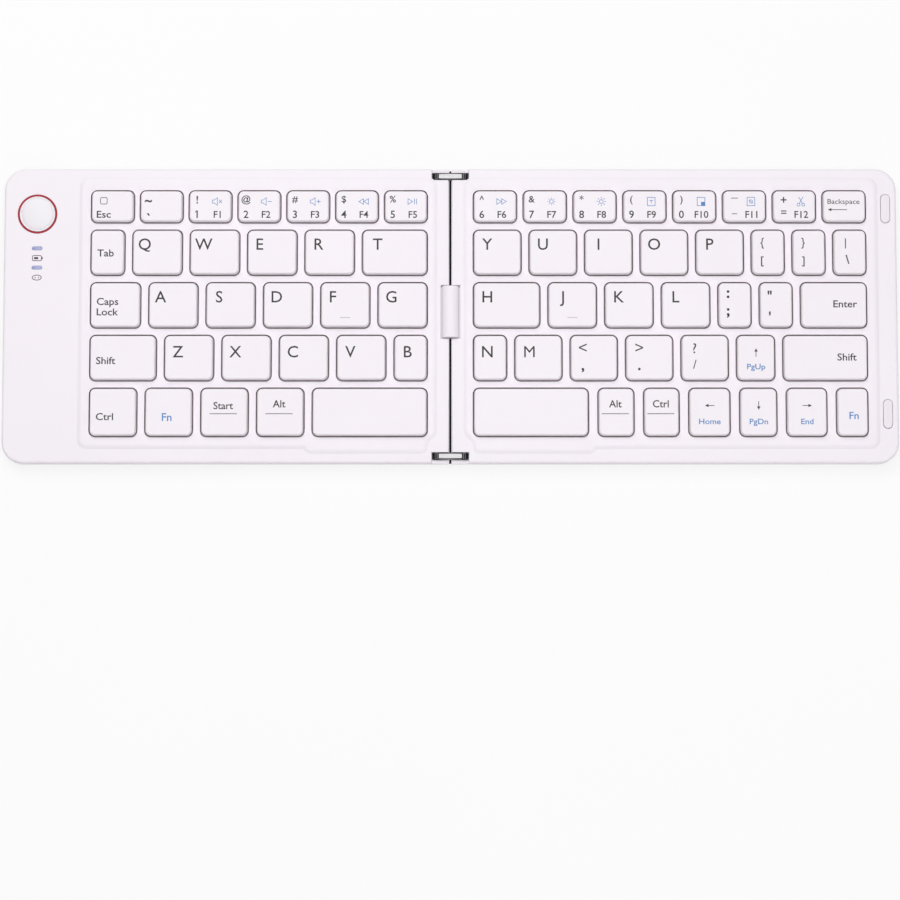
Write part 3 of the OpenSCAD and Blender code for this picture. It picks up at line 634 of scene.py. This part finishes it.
# (radius, height above the rim)
BUTTON_SKIRT = [(5.75, -0.8), (5.84, -0.3), (5.92, 0.12), (5.9, 0.2), (5.82, 0.25),
                (5.56, 0.26), (5.5, 0.24), (5.47, 0.12), (5.31, 0.1)]
BUTTON_DOME = [(5.30 * math.sin(math.radians(90 - a)), 0.2 + 0.7 * math.sin(math.radians(a)))
               for a in range(0, 91, 6)]
RING_BAND = [(RING_R, -0.9), (RING_R, 0.02), (6.55, 0.1), (6.45, 0.14), (6.2, 0.14),
             (6.1, 0.1), (5.97, 0), (5.96, -0.9)]
# (inwards, height above the rim)
LIGHT_EDGE = [(0, -0.5), (0, -0.06), (0.04, -0.01), (0.12, 0.02), (0.3, 0.05)]
PAD_EDGE = [(0, -0.4), (0, 0.2), (0.03, 0.29), (0.1, 0.36), (0.22, 0.39), (0.5, 0.4)]
# corner radius of a light and of a pad
LIGHT_R = 0.6
PAD_R = 1.48


def button():
    form = Form()
    revolve(form, *BUTTON, BUTTON_SKIRT + BUTTON_DOME)
    form.piece("pairing_button_dome", [DOME], "button", "button", ["pairing_button"])
    ring = Form()
    revolve(ring, *BUTTON, RING_BAND)
    ring.piece("button_ring_band", [RED], "left_half", "ring", ["button_ring"])


def pills(x, ys, size, r, edge):
    """Low rounded bodies that stand in the rim."""
    form = Form()
    for y in ys:
        loops = [at_z(rounded(x, y, size[0] - 2 * i, size[1] - 2 * i, r - i), RIM_Z + h)
                 for i, h in edge]
        form.strips(loops)
        form.flat(loops[-1], [], RIM_Z + edge[-1][1])
    return form


def lights():
    pills(BUTTON[0], LIGHTS, LIGHT_SIZE, LIGHT_R, LIGHT_EDGE).piece(
        "status_light_lenses", [LENS], "left_half", "lights", ["status_lights"])


def pads():
    pills(PAD_X, PADS, PAD_SIZE, PAD_R, PAD_EDGE).piece(
        "fold_pad_pills", [PAD], "right_half", "pad", ["fold_pads"])


# (offset along Y, inwards) of the dark links, which are 2 mm thick
LINK_EDGE = [(-1, 0.2), (-0.94, 0.06), (-0.85, 0), (0.85, 0), (0.94, 0.06), (1, 0.2)]
# (place, width) of the collars along X, half thickness, height over the link, edge
COLLARS = ((4.35, 0.3), (4.95, 0.34))
COLLAR_HALF_Y = 1.04
COLLAR_UP = 0.045
COLLAR_EDGE = 0.05
# the bright sleeve: half length, half thickness, height over the link, bulge, edge, corner
SLEEVE_HALF = 3.85
SLEEVE_HALF_Y = 1.06
SLEEVE_UP = 0.05
SLEEVE_BULGE = 0.05
SLEEVE_EDGE = 0.06
SLEEVE_R = 0.55


def link(name, sy):
    """A dark stadium from pin to pin."""
    form = Form()
    loops = []
    for y, grow in LINK_EDGE:
        r = LINK_R - grow
        ring = arc(-PIN_X, PIN_Z, r, 90, 270, 14) + arc(PIN_X, PIN_Z, r, -90, 90, 14)
        loops.append([(x, sy * LINK_Y - y, z) for x, z in ring])
    form.strips(loops)
    form.ends(loops)
    form.piece(name + "_body", [BLACK], "spine", "dark_steel", [name])


def collars(name, sy):
    """Narrow collars around a link's ends, in a lighter steel that paints the grey reflection
    stripes of the round ends.
    """
    form = Form()
    for sx in (-1, 1):
        for x, w in COLLARS:
            half = w / 2
            high = LINK_R + COLLAR_UP
            if x > PIN_X:
                high = math.sqrt(LINK_R ** 2 - (x + half - PIN_X) ** 2) + COLLAR_EDGE
            y0, y1 = sy * LINK_Y - COLLAR_HALF_Y, sy * LINK_Y + COLLAR_HALF_Y
            z0, z1 = PIN_Z - high, PIN_Z + high
            a, b = sx * x - half, sx * x + half
            e = COLLAR_EDGE
            ring = [(y0, z0), (y1, z0), (y1, z1), (y0, z1)]
            soft = [(y0 + e, z0 + e), (y1 - e, z0 + e), (y1 - e, z1 - e), (y0 + e, z1 - e)]
            loops = [[(at, *p) for p in loop]
                     for at, loop in ((a, soft), (a + e, ring), (b - e, ring), (b, soft))]
            form.strips(loops)
            form.ends(loops)
    form.piece(name + "_glint_collars", [COLLAR_GLINT], "spine", "dark_steel")


def link_cap(name, sy):
    """A bright sleeve, slightly bulged along its length."""
    form = Form()
    half = SLEEVE_HALF
    loops = []
    for x in ([-half, -half + SLEEVE_EDGE] + [half * k / 8 for k in range(-7, 8)]
              + [half - SLEEVE_EDGE, half]):
        bulge = SLEEVE_BULGE * (1 - (x / half) ** 2)
        thin = SLEEVE_EDGE if abs(x) == half else 0
        hy, hz = SLEEVE_HALF_Y + bulge - thin, LINK_R + SLEEVE_UP - thin
        loops.append([(x, y, z) for y, z in rounded(sy * LINK_Y, PIN_Z, 2 * hy, 2 * hz,
                                                    SLEEVE_R, 4)])
    form.strips(loops)
    form.ends(loops)
    form.piece(name + "_sleeve", [BRIGHT], "spine", "bright_steel", [name])


# (from the end, less radius) of the round sleeve's ends, and how square its section is
BARREL_EDGE = ((0, 1.2), (0, 0.24), (0.03, 0.14), (0.09, 0.06), (0.2, 0.01), (0.34, 0))
SQUARE_POWER = 0.82
BARREL_IN = 0.06


def squarer(value):
    return math.copysign(abs(value) ** SQUARE_POWER, value)


def barrel():
    form = Form()
    half = BARREL_L / 2
    n = 96
    loops = []
    for y, less in ([(y - half, less) for y, less in BARREL_EDGE]
                    + [(half - y, less) for y, less in BARREL_EDGE[::-1]]):
        r = BARREL_R - BARREL_IN - less
        loops.append([(r * squarer(math.sin(2 * math.pi * k / n)), BARREL_Y + y,
                       PIN_Z + r * squarer(math.cos(2 * math.pi * k / n)))
                      for k in range(n)])
    form.strips(loops)
    form.ends(loops)
    form.piece("cable_barrel_sleeve", [BODY], "spine", "shell", ["cable_barrel"])


button()
lights()
pads()
for name, sy in (("rear_link", 1), ("front_link", -1)):
    link(name, sy)
    collars(name, sy)
    link_cap(name + "_cap", sy)
barrel()


# ---------------------------------------------------------------- legends

INK_UP = 0.012
# height of a capital of the built-in face at size 1
CAPITAL = 0.729
LETTER_SIZE = 4.0
# middle of a letter from the cap's left edge: the usual one, and the others
LETTER_MID = 4.55
LETTER_X = {"Q": 4.1, "W": 4.6, "E": 4.15, "R": 4.7, "T": 5.1, "A": 4.0, "F": 4.1, "D": 4.5,
            "S": 4.4, "G": 4.4, "L": 4.7, "K": 4.7, "M": 4.8}
LETTERS = {
    "key_letters_top_left": "QWER", "key_letter_t": "T", "key_letters_home_left": "ASDFG",
    "key_letters_low_left": "ZXCV", "key_letter_b": "B", "key_letters_top_right": "YUIOP",
    "key_letter_h": "H", "key_letters_home_right": "JKL", "key_letter_n": "N",
}
# for each cap: shifted sign, digit or sign, function number, sign of the function
NUMBERS = {
    "key_number_left": [None, ("~", "`", "", ""), ("!", "1", "F1", "mute"),
                        ("@", "2", "F2", "quieter"), ("#", "3", "F3", "louder"),
                        ("$", "4", "F4", "back"), ("%", "5", "F5", "play")],
    "key_number_right": [("^", "6", "F6", "forward"), ("&", "7", "F7", "dim"),
                         ("*", "8", "F8", "bright"), ("(", "9", "F9", "sheet"),
                         (")", "0", "F10", "copy"), ("_", "-", "F11", "paste"),
                         ("+", "=", "F12", "cut")],
}
# size of a shifted sign and y of a digit: the usual one, and the others
SHIFTED = 2.35
SHIFTED_SIZE = {"!": 2.7, "~": 3.0, "+": 2.9}
DIGIT_LOW = 6.8
DIGIT_Y = {"`": 7.7, "=": 6.1}
# for each cap: text, x of its middle, y of its cap height, size, weight
PAIRS = {
    "key_brackets": [[("{", 3.5, 2.8, 2.8, 0.006), ("[", 3.5, 8.9, 2.7, 0.006)],
                     [("}", 3.5, 2.8, 2.8, 0.006), ("]", 3.5, 8.9, 2.7, 0.006)],
                     [("|", 4.0, 2.8, 2.7, 0.006), ("\\", 4.6, 8.4, 3.1, 0.014)]],
    "key_semicolons": [[(":", 3.2, 1.5, 3.7, 0.03), (";", 3.2, 7.5, 3.7, 0.03)],
                       [('"', 3.3, 2.9, 3.4, 0.02), ("'", 3.3, 9.9, 3.4, 0.02)]],
    "key_letters_low_right": [[], [("<", 4.1, 2.2, 4.0, 0.0), (",", 4.1, 7.9, 3.9, 0.02)],
                              [(">", 4.4, 2.2, 4.0, 0.0), (".", 4.4, 7.8, 3.9, 0.02)],
                              [("?", 4.4, 2.6, 3.5, 0.004), ("/", 4.4, 8.2, 3.1, 0.004)]],
}
WORD_SIZE = 2.45
WORD_STRETCH = 1.09
LINE_STEP = 3.5
# node, lines of text, x of the left edge, y of the first line
LEFT_WORDS = [("key_tab", ["Tab"], 2.2, 6.6), ("key_caps", ["Caps", "Lock"], 2.2, 5.2),
              ("key_shift_left", ["Shift"], 2.2, 7.3), ("key_front_left", ["Ctrl"], 2.3, 8.3)]
# node, text, distance from the cap's right edge, y
RIGHT_WORDS = [("key_enter", "Enter", 3.3, 6.0), ("key_shift_right", "Shift", 3.7, 6.1)]
# node, number of the cap, text, y
HALVED = [("key_front_left", 2, "Start", 4.6), ("key_front_left", 3, "Alt", 4.0),
          ("key_alt_right", 0, "Alt", 4.0), ("key_alt_right", 1, "Ctrl", 4.0)]
# node, number of the cap, way of the arrow, text, length of the arrow, y
MOVES = [("key_up", 0, (0, -1), "PgUp", 2.9, 9.6),
         ("key_arrows", 0, (-1, 0), "Home", 3.1, 10.2),
         ("key_arrows", 1, (0, 1), "PgDn", 2.9, 10.2),
         ("key_arrows", 2, (1, 0), "End", 3.1, 10.2)]
# growth and stroke of the small signs, and stroke, length and half width of an arrow's head
ICON_GROWTH = 1.27
ICON_STROKE = 0.2
ARROW_STROKE = 0.24
ARROW_HEAD = 1.15
ARROW_HALF = 0.55
# y of the two signs on the button strip
BATTERY_Y = -19.3
LINKED_Y = -12.75


def glyphs(text, size, bold):
    """Points and faces of a word in the plain built-in face, with capitals of that size."""
    curve = bpy.data.curves.new("word", "FONT")
    curve.body = text
    curve.size = 1.0
    curve.offset = bold
    curve.resolution_u = 3
    obj = bpy.data.objects.new("word", curve)
    bpy.context.scene.collection.objects.link(obj)
    bpy.context.view_layer.update()
    data = obj.evaluated_get(bpy.context.evaluated_depsgraph_get()).to_mesh()
    points = [(v.co.x, v.co.y) for v in data.vertices]
    faces = [list(p.vertices) for p in data.polygons]
    bpy.data.objects.remove(obj)
    bpy.data.curves.remove(curve)
    scale = size / CAPITAL
    return [(x * scale, y * scale) for x, y in points], faces


def corner(cap):
    """Top left corner of a cap, or the origin for what lies on the rim."""
    return (cap[0], cap[3]) if cap else (0, 0)


class Legends:
    """Flat ink in three colours that lies on the caps of one node, or on the rim."""

    def __init__(self):
        self.forms = {"ink": Form(), "blue": Form(), "grey": Form()}

    def put(self, cap, points, faces, dx, dy, colour, stretch=1.0):
        placed = []
        for x, y in points:
            px, py = dx + x * stretch, dy + y
            z = (top_at(cap, px, py) if cap else RIM_Z) + INK_UP
            placed.append((px, py, z))
        form = self.forms[colour]
        fixed = []
        for f in faces:
            a, b, c = (placed[i] for i in f[:3])
            turn = (b[0] - a[0]) * (c[1] - a[1]) - (b[1] - a[1]) * (c[0] - a[0])
            fixed.append(f if turn > 0 else f[::-1])
        form.add(placed, fixed)

    def word(self, cap, text, x, y, size, colour="ink", align="left", bold=0.012,
             stretch=1.0):
        """x and y from the cap's left and top edges to the word's left and cap height."""
        points, faces = glyphs(text, size, bold)
        left, right = min(p[0] for p in points), max(p[0] for p in points)
        shift = {"left": left, "centre": (left + right) / 2, "right": right}[align]
        x0, y0 = corner(cap)
        self.put(cap, points, faces, x0 + x - shift * stretch, y0 - y - size, colour, stretch)

    def line(self, cap, path, width, colour="ink", closed=False):
        """A stroke of even width along a path in the cap's own millimetres from its top left."""
        path = [(p[0], -p[1]) for p in path]
        n = len(path)
        sides = ([], [])
        for i in range(n):
            if closed:
                before, after = path[i - 1], path[(i + 1) % n]
            else:
                before, after = path[max(0, i - 1)], path[min(n - 1, i + 1)]
            d0 = Vector((path[i][0] - before[0], path[i][1] - before[1]))
            d1 = Vector((after[0] - path[i][0], after[1] - path[i][1]))
            d0 = d0.normalized() if d0.length > 1e-9 else d1.normalized()
            d1 = d1.normalized() if d1.length > 1e-9 else d0
            mid = d0 + d1
            mid = mid.normalized() if mid.length > 1e-6 else d0
            grow = 1 / max(0.5, mid.dot(d0))
            normal = Vector((-mid.y, mid.x)) * width / 2 * grow
            sides[0].append((path[i][0] + normal.x, path[i][1] + normal.y))
            sides[1].append((path[i][0] - normal.x, path[i][1] - normal.y))
        points = sides[0] + sides[1]
        last = n if closed else n - 1
        faces = [[i, n + i, n + (i + 1) % n, (i + 1) % n] for i in range(last)]
        self.put(cap, points, faces, *corner(cap), colour)

    def fill(self, cap, path, colour="ink"):
        """A filled outline in the same measures."""
        points = [(p[0], -p[1]) for p in path]
        self.put(cap, points, [list(range(len(points)))], *corner(cap), colour)

    def piece(self, name, body):
        """One piece for each colour that is used."""
        for colour, material in (("ink", INK), ("blue", BLUE), ("grey", GREY)):
            if self.forms[colour].faces:
                self.forms[colour].piece(f"{name}_{colour}", [material], body,
                                         weighted=False)


class Scaled:
    """A pen whose paths grow about one point."""

    def __init__(self, pen, x, y, factor):
        self.pen, self.x, self.y, self.factor = pen, x, y, factor

    def grown(self, path):
        return [(self.x + (p[0] - self.x) * self.factor,
                 self.y + (p[1] - self.y) * self.factor) for p in path]

    def line(self, cap, path, width, colour, closed=False):
        self.pen.line(cap, self.grown(path), width, colour, closed)

    def fill(self, cap, path, colour):
        self.pen.fill(cap, self.grown(path), colour)


def ring_path(cx, cy, r, n=20):
    return [(cx + r * math.cos(math.radians(360 * k / n)),
             cy - r * math.sin(math.radians(360 * k / n))) for k in range(n)]


def icon(pen, cap, kind, x, y):
    """A small generic sign about 3.4 mm wide, its middle x, y from the cap's top left."""
    pen = Scaled(pen, x, y, ICON_GROWTH)
    w = ICON_STROKE
    colour = "blue"
    if kind in ("mute", "quieter", "louder"):
        pen.line(cap, [(x - 1.2, y - 0.4), (x - 0.7, y - 0.4), (x + 0.1, y - 1.0),
                       (x + 0.1, y + 1.0), (x - 0.7, y + 0.4), (x - 1.2, y + 0.4)], w, colour,
                 True)
        if kind == "mute":
            pen.line(cap, [(x + 0.5, y - 0.45), (x + 1.3, y + 0.45)], w, colour)
            pen.line(cap, [(x + 0.5, y + 0.45), (x + 1.3, y - 0.45)], w, colour)
        else:
            pen.line(cap, [(x + 0.5, y), (x + 1.5, y)], w, colour)
            if kind == "louder":
                pen.line(cap, [(x + 1.0, y - 0.5), (x + 1.0, y + 0.5)], w, colour)
    elif kind in ("back", "forward"):
        s = 1 if kind == "forward" else -1
        for o in (-0.65, 0.65):
            pen.line(cap, [(x + o - 0.6 * s, y - 0.75), (x + o + 0.6 * s, y),
                           (x + o - 0.6 * s, y + 0.75)], w, colour, True)
    elif kind == "play":
        pen.line(cap, [(x - 1.2, y - 0.75), (x, y), (x - 1.2, y + 0.75)], w, colour, True)
        for o in (0.5, 1.05):
            pen.line(cap, [(x + o, y - 0.75), (x + o, y + 0.75)], w, colour)
    elif kind in ("dim", "bright"):
        pen.line(cap, ring_path(x, y, 0.5), w, colour, True)
        for k in range(8):
            a = math.radians(45 * k)
            far = 1.25 if kind == "bright" else 1.05
            pen.line(cap, [(x + 0.78 * math.cos(a), y + 0.78 * math.sin(a)),
                           (x + far * math.cos(a), y + far * math.sin(a))], w, colour)
    elif kind in ("sheet", "copy", "paste"):
        pen.line(cap, [(x - 1.0, y - 1.1), (x + 1.0, y - 1.1), (x + 1.0, y + 1.1),
                       (x - 1.0, y + 1.1)], w, colour, True)
        if kind == "sheet":
            pen.line(cap, [(x - 0.5, y - 0.3), (x + 0.5, y - 0.3)], w, colour)
            pen.line(cap, [(x, y - 0.3), (x, y + 0.5)], w, colour)
        elif kind == "copy":
            pen.fill(cap, [(x, y + 0.1), (x + 1.0, y + 0.1), (x + 1.0, y + 1.1),
                           (x, y + 1.1)][::-1], colour)
        else:
            pen.line(cap, [(x - 0.5, y - 0.5), (x + 0.5, y + 0.5)], w, colour)
            pen.line(cap, ring_path(x, y, 0.45, 14), w * 0.8, colour, True)
    elif kind == "cut":
        pen.line(cap, [(x - 0.55, y - 1.2), (x + 0.4, y + 0.5)], w, colour)
        pen.line(cap, [(x + 0.55, y - 1.2), (x - 0.4, y + 0.5)], w, colour)
        for s in (-1, 1):
            pen.line(cap, ring_path(x + 0.62 * s, y + 0.85, 0.38, 14), w, colour, True)


def arrow(pen, cap, x, y, dx, dy, length):
    """An arrow whose middle lies at x, y and which points along dx, dy."""
    wide = ARROW_HALF
    tip = (x + dx * length / 2, y + dy * length / 2)
    tail = (x - dx * length / 2, y - dy * length / 2)
    foot = (tip[0] - dx * ARROW_HEAD, tip[1] - dy * ARROW_HEAD)
    pen.line(cap, [tail, foot], ARROW_STROKE)
    pen.fill(cap, [tip, (foot[0] - dy * wide, foot[1] + dx * wide),
                   (foot[0] + dy * wide, foot[1] - dx * wide)])


def letter(pens, node, cap, text):
    y = 3.5 if "low" in node or text in "BN" else 2.8
    pens[node].word(cap, text, LETTER_X.get(text, LETTER_MID), y, LETTER_SIZE,
                    align="centre", bold=0.0 if text == "M" else 0.006)


def letters(pens):
    for node, text in LETTERS.items():
        for cap, sign in zip(CAPS_AT[node], text):
            letter(pens, node, cap, sign)
    letter(pens, "key_letters_low_right", CAPS_AT["key_letters_low_right"][0], "M")


def number_key(pen, cap, shifted, digit, function, sign):
    """A key of the number row."""
    x = 3.6 if shifted == "+" else 2.75
    thin = digit == "`"
    if digit == "-":
        pen.line(cap, [(2.7, 2.7), (5.0, 2.7)], 0.24)
        pen.line(cap, [(2.95, 8.0), (4.7, 8.0)], 0.24)
    else:
        pen.word(cap, shifted, x, 1.8, SHIFTED_SIZE.get(shifted, SHIFTED), align="centre",
                 bold=0.03 if thin else 0.012)
        pen.word(cap, digit, x, DIGIT_Y.get(digit, DIGIT_LOW), 2.6, align="centre",
                 bold=0.04 if thin else 0.012)
    if digit == "1":
        pen.line(cap, [(2.72, 6.85), (2.05, 7.5)], 0.26)
    if function:
        pen.word(cap, function, 9.45, 6.95, 2.4, align="centre")
        icon(pen, cap, sign, 9.35, 3.85)


def number_row(pens):
    for node, rows in NUMBERS.items():
        for cap, row in zip(CAPS_AT[node], rows):
            if row:
                number_key(pens[node], cap, *row)
    pen, cap = pens["key_number_left"], CAPS_AT["key_number_left"][0]
    pen.line(cap, rounded(4.2, 3.6, 2.2, 2.2, 0.45, 3), 0.22, closed=True)
    pen.word(cap, "Esc", 1.9, 6.9, 2.4, stretch=1.14, bold=0.014)


def pairs(pens):
    for node, rows in PAIRS.items():
        for cap, row in zip(CAPS_AT[node], rows):
            for text, x, y, size, bold in row:
                pens[node].word(cap, text, x, y, size, align="centre", bold=bold)


def homing_bars(pens):
    for node, spot in (("key_letters_home_left", 3), ("key_letters_home_right", 0)):
        cap = CAPS_AT[node][spot]
        x = (cap[1] - cap[0]) / 2
        pens[node].line(cap, [(x - 1.7, 11.9), (x + 1.7, 11.9)], 0.26, "grey")


def words(pens):
    """Plain words of the keys at the sides."""
    for node, lines, x, y in LEFT_WORDS:
        for k, text in enumerate(lines):
            pens[node].word(CAPS_AT[node][0], text, x, y + LINE_STEP * k, WORD_SIZE,
                            stretch=WORD_STRETCH)
    for node, text, x, y in RIGHT_WORDS:
        cap = CAPS_AT[node][0]
        pens[node].word(cap, text, cap[1] - cap[0] - x, y, WORD_SIZE, align="right",
                        stretch=WORD_STRETCH)
    cap = CAPS_AT["key_backspace"][0]
    pens["key_backspace"].word(cap, "Backspace", 1.6, 2.9, 1.75, bold=0.004, stretch=1.1)
    arrow(pens["key_backspace"], cap, 4.9, 6.6, -1, 0, 6.4)
    pens["key_front_left"].word(CAPS_AT["key_front_left"][1], "Fn", 5.7, 8.3, 2.75, "blue")
    pens["key_fn_right"].word(CAPS_AT["key_fn_right"][0], "Fn", 4.0, 7.9, 2.5, "blue",
                              stretch=1.05)


def halved_keys(pens):
    """Keys with a word over a line."""
    for node, spot, text, y in HALVED:
        cap = CAPS_AT[node][spot]
        x = (cap[1] - cap[0]) / 2 - 0.3
        pens[node].word(cap, text, x, y, 2.5, align="centre", stretch=0.98)
        pens[node].line(cap, [(x - 4.5, 8.65), (x + 4.5, 8.65)], 0.22)


def arrow_keys(pens):
    for node, spot, way, text, length, y in MOVES:
        cap = CAPS_AT[node][spot]
        x = (cap[1] - cap[0]) / 2
        arrow(pens[node], cap, x, 5.9, *way, length)
        pens[node].word(cap, text, x, y, 1.9, "blue", align="centre", stretch=1.12)


def strip_signs():
    """A battery and a linked pair, one under each light. y runs down here."""
    strip = Legends()
    x = BUTTON[0]
    y = BATTERY_Y
    strip.line(None, rounded(x, y, 3.0, 1.7, 0.4, 3), 0.24, closed=True)
    strip.fill(None, rounded(x - 0.3, y, 1.4, 0.7, 0.1, 1)[::-1])
    strip.fill(None, rounded(x + 1.75, y, 0.3, 0.8, 0.1, 1)[::-1])
    y = LINKED_Y
    turns = [math.pi * k / 14 for k in range(28)]
    strip.line(None, [(x + 1.5 * math.cos(a), y + 0.85 * math.sin(a)) for a in turns], 0.24,
               closed=True)
    for spot in (-0.55, 0.55):
        strip.line(None, [(x + spot, y - 0.3), (x + spot, y + 0.3)], 0.22)
    strip.piece("strip_signs", "left_half")


def legends():
    pens = {node: Legends() for nodes in KEY_NODES.values() for node in nodes}
    for draw in (letters, number_row, pairs, homing_bars, words, halved_keys, arrow_keys):
        draw(pens)
    for node, pen in pens.items():
        pen.piece(node + "_legend", node)


legends()
strip_signs()


# ---------------------------------------------------------------- studio

def area(name, place, size, power, size_y=None):
    """A soft lamp that points at the middle of the floor."""
    lamp = bpy.data.lights.new(name, "AREA")
    lamp.shape = "RECTANGLE"
    lamp.size = size
    lamp.size_y = size_y or size
    lamp.energy = power
    obj = bpy.data.objects.new(name, lamp)
    obj.location = place
    obj.rotation_euler = (-Vector(place)).to_track_quat("-Z", "Y").to_euler()
    bpy.context.scene.collection.objects.link(obj)


def pale_for_eye(tree, shader_out, surface_in, keep):
    """Shows a white surface to the eye, and to metal and glass, and keeps a share of the lit
    one, with its shadow."""
    path = tree.nodes.new("ShaderNodeLightPath")
    seen = tree.nodes.new("ShaderNodeMath")
    seen.operation = "MAXIMUM"
    tree.links.new(path.outputs["Is Camera Ray"], seen.inputs[0])
    tree.links.new(path.outputs["Is Glossy Ray"], seen.inputs[1])
    shown = tree.nodes.new("ShaderNodeMath")
    shown.operation = "MAXIMUM"
    tree.links.new(seen.outputs[0], shown.inputs[0])
    tree.links.new(path.outputs["Is Transmission Ray"], shown.inputs[1])
    glow = tree.nodes.new("ShaderNodeEmission")
    glow.inputs["Color"].default_value = (1, 1, 1, 1)
    glow.inputs["Strength"].default_value = 1.0
    both = tree.nodes.new("ShaderNodeMixShader")
    both.inputs[0].default_value = 1 - keep
    tree.links.new(shader_out, both.inputs[1])
    tree.links.new(glow.outputs[0], both.inputs[2])
    mix = tree.nodes.new("ShaderNodeMixShader")
    tree.links.new(shown.outputs[0], mix.inputs[0])
    tree.links.new(shader_out, mix.inputs[1])
    tree.links.new(both.outputs[0], mix.inputs[2])
    tree.links.new(mix.outputs[0], surface_in)


# in metres: half the floor's side, and its height
FLOOR_HALF = 4
FLOOR_Z = -0.00002
WORLD_STRENGTH = 0.36


def studio():
    """Pale floor, white surroundings to the eye, three soft lamps."""
    data = bpy.data.meshes.new("floor")
    data.from_pydata([(x * FLOOR_HALF, y * FLOOR_HALF, FLOOR_Z)
                      for x, y in ((-1, -1), (1, -1), (1, 1), (-1, 1))], [], [(0, 1, 2, 3)])
    floor = bpy.data.objects.new("floor", data)
    bpy.context.scene.collection.objects.link(floor)
    made, tree, shader = node_material("floor_paper")
    grain = noise_at(tree, 6, 3)
    tree.links.new(ramp_between(tree, grain.outputs["Fac"], (0.90, 0.90, 0.90),
                                (0.92, 0.92, 0.92)), shader.inputs["Base Color"])
    shader.inputs["Roughness"].default_value = 0.9
    shader.inputs["Specular IOR Level"].default_value = 0.1
    out = next(n for n in tree.nodes if n.type == "OUTPUT_MATERIAL")
    pale_for_eye(tree, shader.outputs[0], out.inputs["Surface"], 0.25)
    data.materials.append(made)

    world = bpy.data.worlds.new("studio")
    world.use_nodes = True
    bpy.context.scene.world = world
    tree = world.node_tree
    back = next(n for n in tree.nodes if n.type == "BACKGROUND")
    out = next(n for n in tree.nodes if n.type == "OUTPUT_WORLD")
    back.inputs["Color"].default_value = (0.98, 0.97, 0.98, 1)
    back.inputs["Strength"].default_value = WORLD_STRENGTH
    white = tree.nodes.new("ShaderNodeBackground")
    white.inputs["Color"].default_value = (1, 1, 1, 1)
    white.inputs["Strength"].default_value = 1.0
    path = tree.nodes.new("ShaderNodeLightPath")
    mix = tree.nodes.new("ShaderNodeMixShader")
    tree.links.new(path.outputs["Is Camera Ray"], mix.inputs[0])
    tree.links.new(back.outputs[0], mix.inputs[1])
    tree.links.new(white.outputs[0], mix.inputs[2])
    tree.links.new(mix.outputs[0], out.inputs["Surface"])

    area("back_box", (-0.2, 0.6, 0.8), 0.9, 3.7, 0.5)
    area("top_box", (0.03, 0.0, 1.1), 0.8, 4.8)
    area("front_fill", (0.5, -0.9, 0.7), 0.8, 2.2)
    bpy.context.scene.view_settings.view_transform = "Standard"


# the photograph: width in pixels, millimetres to a pixel at the aim, distance in metres
PICTURE = 900
PIXEL = 0.3318
DISTANCE = 1.0
TILT = math.radians(84.5)
AIM = Vector((-0.0001, -0.04495, 0.005))
SENSOR = 36


def camera():
    """The photograph's frame: from high above, leaning a little to the front."""
    made = bpy.data.cameras.new("camera")
    obj = bpy.data.objects.new("camera", made)
    bpy.context.scene.collection.objects.link(obj)
    way = Vector((0, math.cos(TILT), -math.sin(TILT)))
    obj.location = AIM - way * DISTANCE
    obj.rotation_euler = way.to_track_quat("-Z", "Y").to_euler()
    made.sensor_width = SENSOR
    made.lens = SENSOR * (DISTANCE / PIXEL / MM) / PICTURE
    made.clip_end = 20
    bpy.context.scene.camera = obj


studio()
camera()
